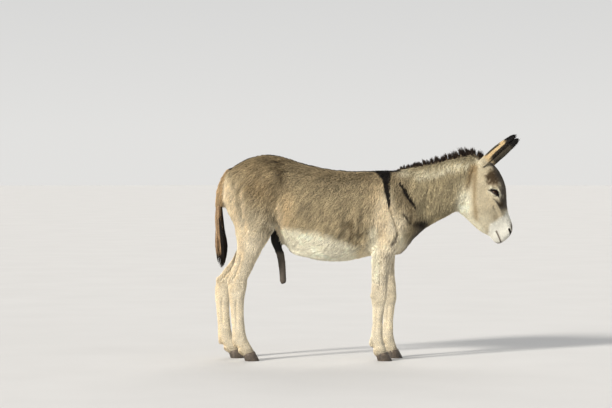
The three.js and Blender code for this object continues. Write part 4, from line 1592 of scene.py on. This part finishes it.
@dataclass
class Switch:
    """The tail's long hair, a sheaf that swells below the dock and ends in a point."""

    count: int = 1300
    seed: int = 41
    outline: tuple = (
        (552, -890, 5, 4), (580, -888, 22, 18), (625, -887, 34, 28), (680, -887, 39, 33), (740, -890, 36, 33),
        (800, -896, 28, 30), (872, -901, 24, 26), (930, -901, 20, 21), (985, -896, 12, 14),
    )
    dark: tuple = ((20, 16, 13), (26, 19, 14))
    pale: tuple = ((132, 106, 78), (72, 66, 56))

    def ends(self, random: np.random.Generator, angle: Array, reach: Array) -> tuple[Array, Array, Array]:
        """The heights of each hair's top and bottom, and whether it is a pale one."""
        count = len(angle)
        top = random.uniform(760, 985, count)
        bottom = np.interp(random.random(count) ** 0.8, [0, 0.55, 1], [553, 600, 730])
        pale = (np.cos(angle) < -0.1) & (reach > 0.45) & (random.random(count) < 0.85)
        bottom = np.where(pale, random.uniform(615, 760, count), bottom)
        cover = random.random(count) < 0.34
        top = np.where(cover, random.uniform(940, 1010, count), top)
        bottom = np.where(cover, random.uniform(700, 860, count), bottom)
        return top, bottom, pale | (cover & (np.cos(angle) < 0.72))

    def hung(self, angle: Array, reach: Array, top: Array, bottom: Array) -> Array:
        """The hairs' lines, at their share of the outline's half widths, with a little wave."""
        angle, reach, top, bottom = (row[:, None] for row in (angle, reach, top, bottom))
        share = np.linspace(0, 1, 9)
        z = top + (bottom - top) * share
        levels, *rows = np.array(self.outline, float).T
        middle, half_length, half_width = (np.interp(z, levels, row) for row in rows)
        x = middle + half_length * reach * np.cos(angle) + 2.2 * np.sin(z / 26 + angle * 3) * share
        y = half_width * reach * np.sin(angle) + 2.2 * np.cos(z / 31 + angle * 5) * share
        return np.stack([x, y, z], axis=2)

    def build(self) -> None:
        """Hangs the hairs from the dock and puts them in the scene."""
        random = np.random.default_rng(self.seed)
        count = self.count // 1
        angle = random.uniform(0, 2 * math.pi, count)
        reach = np.sqrt(random.random(count)) * 0.95
        top, bottom, pale = self.ends(random, angle, reach)
        lines = self.hung(angle, reach, top, bottom)
        widths = random.uniform(1.0, 1.7, count)[:, None] * np.array([0.6, 1, 1, 1, 1, 0.9, 0.8, 0.6])
        dark, light = (
            np.array(low) + np.array(more) * random.random((count, 1)) for low, more in (self.dark, self.pale)
        )
        colours = linear(np.where(pale[:, None], light, dark))
        spots = np.column_stack([angle / (2 * math.pi), (bottom - 552) / 200]) * 0.98 + 0.01
        up = np.column_stack([np.cos(angle), np.sin(angle), np.zeros(count)])
        strands = Strands(lines, widths, up, colours, np.clip(spots, 0.01, 0.99), 0.7)
        install("tail_hair", strands.mesh("tail_hair"), LONG_HAIR, ("tail_switch",))


# ---------------------------------------------------------------- eyes


@dataclass
class Eye:
    """One eyeball with its wet bulge, dark iris and level pupil, in the rims of its lids."""

    opening: EyeOpening
    iris: float = 14.5
    bulge: float = 1.6
    rim: float = 1.7
    fit: float = 0.985
    half_pupil: tuple = (7.5, 4.4)
    pupil_ahead: float = 4.0
    white: tuple = (58.0, 42.0, 34.0)
    brown: tuple = (66, 42, 24)
    black: tuple = (10, 9, 12)

    def build(self) -> None:
        """Makes the eyeball, the lid rims and the lashes, and puts them in the scene."""
        side = self.opening.node.removeprefix("eye_")
        install(f"eyeball_{side}", self.ball(), EYE, (self.opening.node,))
        install(f"lid_rim_{side}", self.rims(), LID, ("head",))
        install(f"lashes_{side}", self.lashes(side), LONG_HAIR, ("head",))

    def ball(self) -> Mesh:
        """The eyeball's mesh, painted."""
        shell = bmesh.new()
        ball = self.opening.radius * self.fit * MM
        bmesh.ops.create_uvsphere(shell, u_segments=64, v_segments=48, radius=ball)
        turn = Vector(self.opening.axes()[0]).to_track_quat("Z", "Y")
        bmesh.ops.rotate(shell, verts=shell.verts, cent=(0, 0, 0), matrix=turn.to_matrix())
        bmesh.ops.translate(shell, verts=shell.verts, vec=Vector(self.opening.centre * MM))
        mesh = as_mesh(shell, "eyeball")
        points = points_of(mesh)
        height, length, across = self.opening.split(points)
        radius = np.hypot(length, across)
        front = height > 0
        out = unit(points - self.opening.centre)
        points += out * (self.bulge * front * ramp(self.iris + 1, 0, radius))[:, None]
        move_points(mesh, points)
        level_y = points[:, 2] - self.opening.centre[2]
        level_x = points[:, 0] - self.opening.centre[0] - self.pupil_ahead
        iris = ramp(self.iris + 1, self.iris - 1, radius) * front
        pupil = ramp(1.1, 0.85, np.hypot(level_x / self.half_pupil[0], level_y / self.half_pupil[1])) * front
        colour = np.tile(self.white, (len(points), 1))
        colour += (np.array(self.brown) - colour) * iris[:, None]
        colour += (np.array(self.black) - colour) * pupil[:, None]
        paint(mesh, linear(colour), np.ones(len(points)))
        return mesh

    def edge_points(self, shell: float, count: int = 48) -> tuple[Array, Array]:
        """Points round the lids' edges, on a shell of this radius, and whether each is on the upper lid."""
        angle = np.linspace(0, 2 * math.pi, count, endpoint=False)
        length = self.opening.half_length * self.fit * np.cos(angle)
        top, bottom = self.opening.edges(length)
        across = np.where(angle < math.pi, top, bottom)
        height = np.sqrt(np.maximum(shell**2 - length**2 - across**2, 9.0))
        return self.opening.joined(height, length, across), angle < math.pi

    def rims(self) -> Mesh:
        """The dark moist edges of the lids."""
        points, upper = self.edge_points(self.opening.lid_shell - 1.4)
        curve = bpy.data.curves.new("rim", "CURVE")
        curve.dimensions = "3D"
        curve.bevel_depth = self.rim * MM
        curve.bevel_resolution = 3
        line = curve.splines.new("POLY")
        line.points.add(len(points) - 1)
        for knot, place, top in zip(line.points, points * MM, upper):
            knot.co = (*place, 1.0)
            knot.radius = 1.25 if top else 0.9
        line.use_cyclic_u = True
        mesh = evaluated(new_object("scratch", curve))
        count = len(mesh.vertices)
        paint(mesh, np.tile(linear(np.array([40.0, 34.0, 31.0])), (count, 1)), np.ones(count))
        return mesh

    def lashes(self, side: str) -> Mesh:
        """The upper lid's lashes, which point out and down."""
        random = np.random.default_rng(61)
        points, upper = self.edge_points(self.opening.lid_shell + 0.4, 420)
        roots = points[upper][6:-6]
        out, forward, up = self.opening.axes()
        count = len(roots)
        way = out * 0.75 - up * 0.35 + forward * random.normal(0.1, 0.2, (count, 1))
        way = unit(way + random.normal(0, 0.06, (count, 3)))
        length = random.uniform(13, 22, (count, 1))
        steps = np.array([0, 0.4, 0.75, 1.0])
        lines = roots[:, None] + way[:, None] * (length * steps)[:, :, None]
        lines += (up * 0.25)[None, None] * (length * steps**2)[:, :, None]
        widths = np.full((count, 1), 0.42) * np.array([1.0, 0.9, 0.6])
        colours = np.tile(linear(np.array([34.0, 28.0, 25.0])), (count, 1))
        spots = np.column_stack([np.linspace(0.02, 0.98, count), random.uniform(0.1, 0.9, count)])
        return Strands(lines, widths, np.tile(out, (count, 1)), colours, spots, 0.8).mesh(f"lashes_{side}")


# ---------------------------------------------------------------- hooves


@dataclass
class Hoof:
    """One hoof: the horn, with its worn edge and its rings of growth."""

    leg: str
    edge: float = 2.5
    ring_gap: float = 8.5
    ring_height: float = 0.45
    dark: tuple = (62, 55, 49)
    gleam: tuple = (46, 40, 32)

    def build(self) -> None:
        """Rounds the hoof's edges, paints it and puts it in the scene."""
        name = f"hoof_{self.leg}"
        shell = merged_copy(name)
        bmesh.ops.dissolve_limit(shell, angle_limit=math.radians(4), verts=shell.verts, edges=shell.edges)
        sharp = [e for e in shell.edges if len(e.link_faces) == 2 and e.calc_face_angle() > math.radians(35)]
        bmesh.ops.bevel(
            shell, geom=sharp, offset=self.edge * MM, offset_type="OFFSET", affect="EDGES",
            segments=3, profile=0.5, material=-1, clamp_overlap=True,
        )
        bmesh.ops.triangulate(shell, faces=shell.faces)
        bmesh.ops.subdivide_edges(shell, edges=shell.edges, cuts=2, use_grid_fill=True)
        bmesh.ops.recalc_face_normals(shell, faces=shell.faces)
        mesh = in_order(as_mesh(shell, name))
        points, normals = points_of(mesh), normals_of(mesh)
        wall = ramp(0.75, 0.4, np.abs(normals[:, 2])) * ramp(1, 6, points[:, 2])
        rings = np.sin(points[:, 2] * 2 * math.pi / self.ring_gap + 0.8 * Noise(3).at(points, 30))
        points += normals * (self.ring_height * rings * wall)[:, None]
        move_points(mesh, points)
        streak = Noise(9).at(points * [1, 1, 0.12], 5)
        light = 0.5 + 0.5 * np.clip(streak + 0.2 * rings, -1, 1)
        colour = np.array(self.dark) + np.array(self.gleam) * light[:, None]
        colour = colour * (0.85 + 0.25 * ramp(10, 50, points[:, 2]))[:, None]
        paint(mesh, linear(colour), np.ones(len(points)))
        install(f"horn_{self.leg}", mesh, HORN, (name,))


# ---------------------------------------------------------------- the studio


@dataclass
class Studio:
    """The pale floor, the soft lights and the camera."""

    lens: float = 135.0
    sensor: float = 36.0
    distance: float = 14000.0
    height: float = 1250.0
    aim: tuple = (-371.0, 0.0, 949.0)
    floor_reach: float = 80000.0
    far_clip: float = 200000.0
    air: tuple = ((0.01, (0.76, 0.755, 0.74)), (0.16, (0.58, 0.585, 0.59)), (0.7, (0.28, 0.29, 0.31)))
    ground: tuple = ((0.0, (0.66, 0.65, 0.63)), (1.0, (0.72, 0.71, 0.69)))

    def build(self) -> None:
        """Sets up all of it."""
        self.floor()
        self.light("key", (-0.86, -0.76, 0.5), 4.2, 8.0, (1.0, 0.955, 0.89))
        self.light("fill", (0.9, -0.6, 0.5), 0.3, 40.0, (0.9, 0.95, 1.0))
        self.light("back", (0.1, 0.9, 0.7), 0.9, 40.0, (1.0, 0.98, 0.95))
        self.sky()
        bpy.context.scene.view_settings.view_transform = "Standard"
        self.camera()

    def sky(self) -> None:
        """The pale air round the floor, dimmer overhead."""
        world = bpy.data.worlds.new("pale")
        world.use_nodes = True
        nodes, links = world.node_tree.nodes, world.node_tree.links
        parts = nodes.new("ShaderNodeSeparateXYZ")
        links.new(nodes.new("ShaderNodeTexCoord").outputs["Generated"], parts.inputs[0])
        links.new(tinted(world, parts.outputs["Z"], self.air), nodes["Background"].inputs["Color"])
        bpy.context.scene.world = world

    def floor(self) -> None:
        """A wide pale floor."""
        shell = bmesh.new()
        bmesh.ops.create_circle(shell, cap_ends=True, segments=96, radius=self.floor_reach * MM)
        mesh = as_mesh(shell, "floor")
        material, place = new_material("floor")
        shader = material.node_tree.nodes["Principled BSDF"]
        set_numbers(shader, {"Roughness": 0.8, "Specular IOR Level": 0.2})
        colour = tinted(material, cloudy(material, place, 1.5, 2.0), self.ground)
        material.node_tree.links.new(colour, shader.inputs["Base Color"])
        mesh.materials.append(material)
        piece = new_object("floor", mesh)

    def light(self, name: str, way: tuple, power: float, spread: float, colour: tuple) -> None:
        """A far soft lamp.

        Args:
            name: the lamp's name.
            way: the direction that its light comes from.
            power: its strength.
            spread: how wide it looks, in degrees, which softens its shadows.
            colour: its colour.
        """
        lamp = bpy.data.lights.new(name, "SUN")
        lamp.energy, lamp.angle, lamp.color = power, math.radians(spread), colour
        stand = new_object(name, lamp)
        stand.rotation_euler = (-Vector(way)).to_track_quat("-Z", "Y").to_euler()

    def camera(self) -> None:
        """The camera, at the height of a standing person's chest."""
        view = bpy.data.cameras.new("camera")
        view.lens, view.sensor_width = self.lens, self.sensor
        view.clip_end = self.far_clip * MM
        stand = new_object("camera", view)
        aim = Vector(self.aim) * MM
        down = math.asin((self.height * MM - aim.z) / (self.distance * MM))
        back = Vector((0, -math.cos(down), math.sin(down)))
        stand.location = aim + back * self.distance * MM
        stand.rotation_euler = (-back).to_track_quat("-Z", "Y").to_euler()
        bpy.context.scene.camera = stand


def main() -> None:
    """Builds the animal and the studio."""
    logging.basicConfig(level=logging.INFO, format="%(relativeCreated)d %(message)s")
    Studio().build()
    markings = Markings()
    skin = Skin(markings).build()
    Coat(skin, markings).build()
    Mane(skin).build()
    Switch().build()
    for opening in OPENINGS:
        Eye(opening).build()
    for leg in LEGS:
        Hoof(leg).build()


if __name__ == "__main__":
    main()
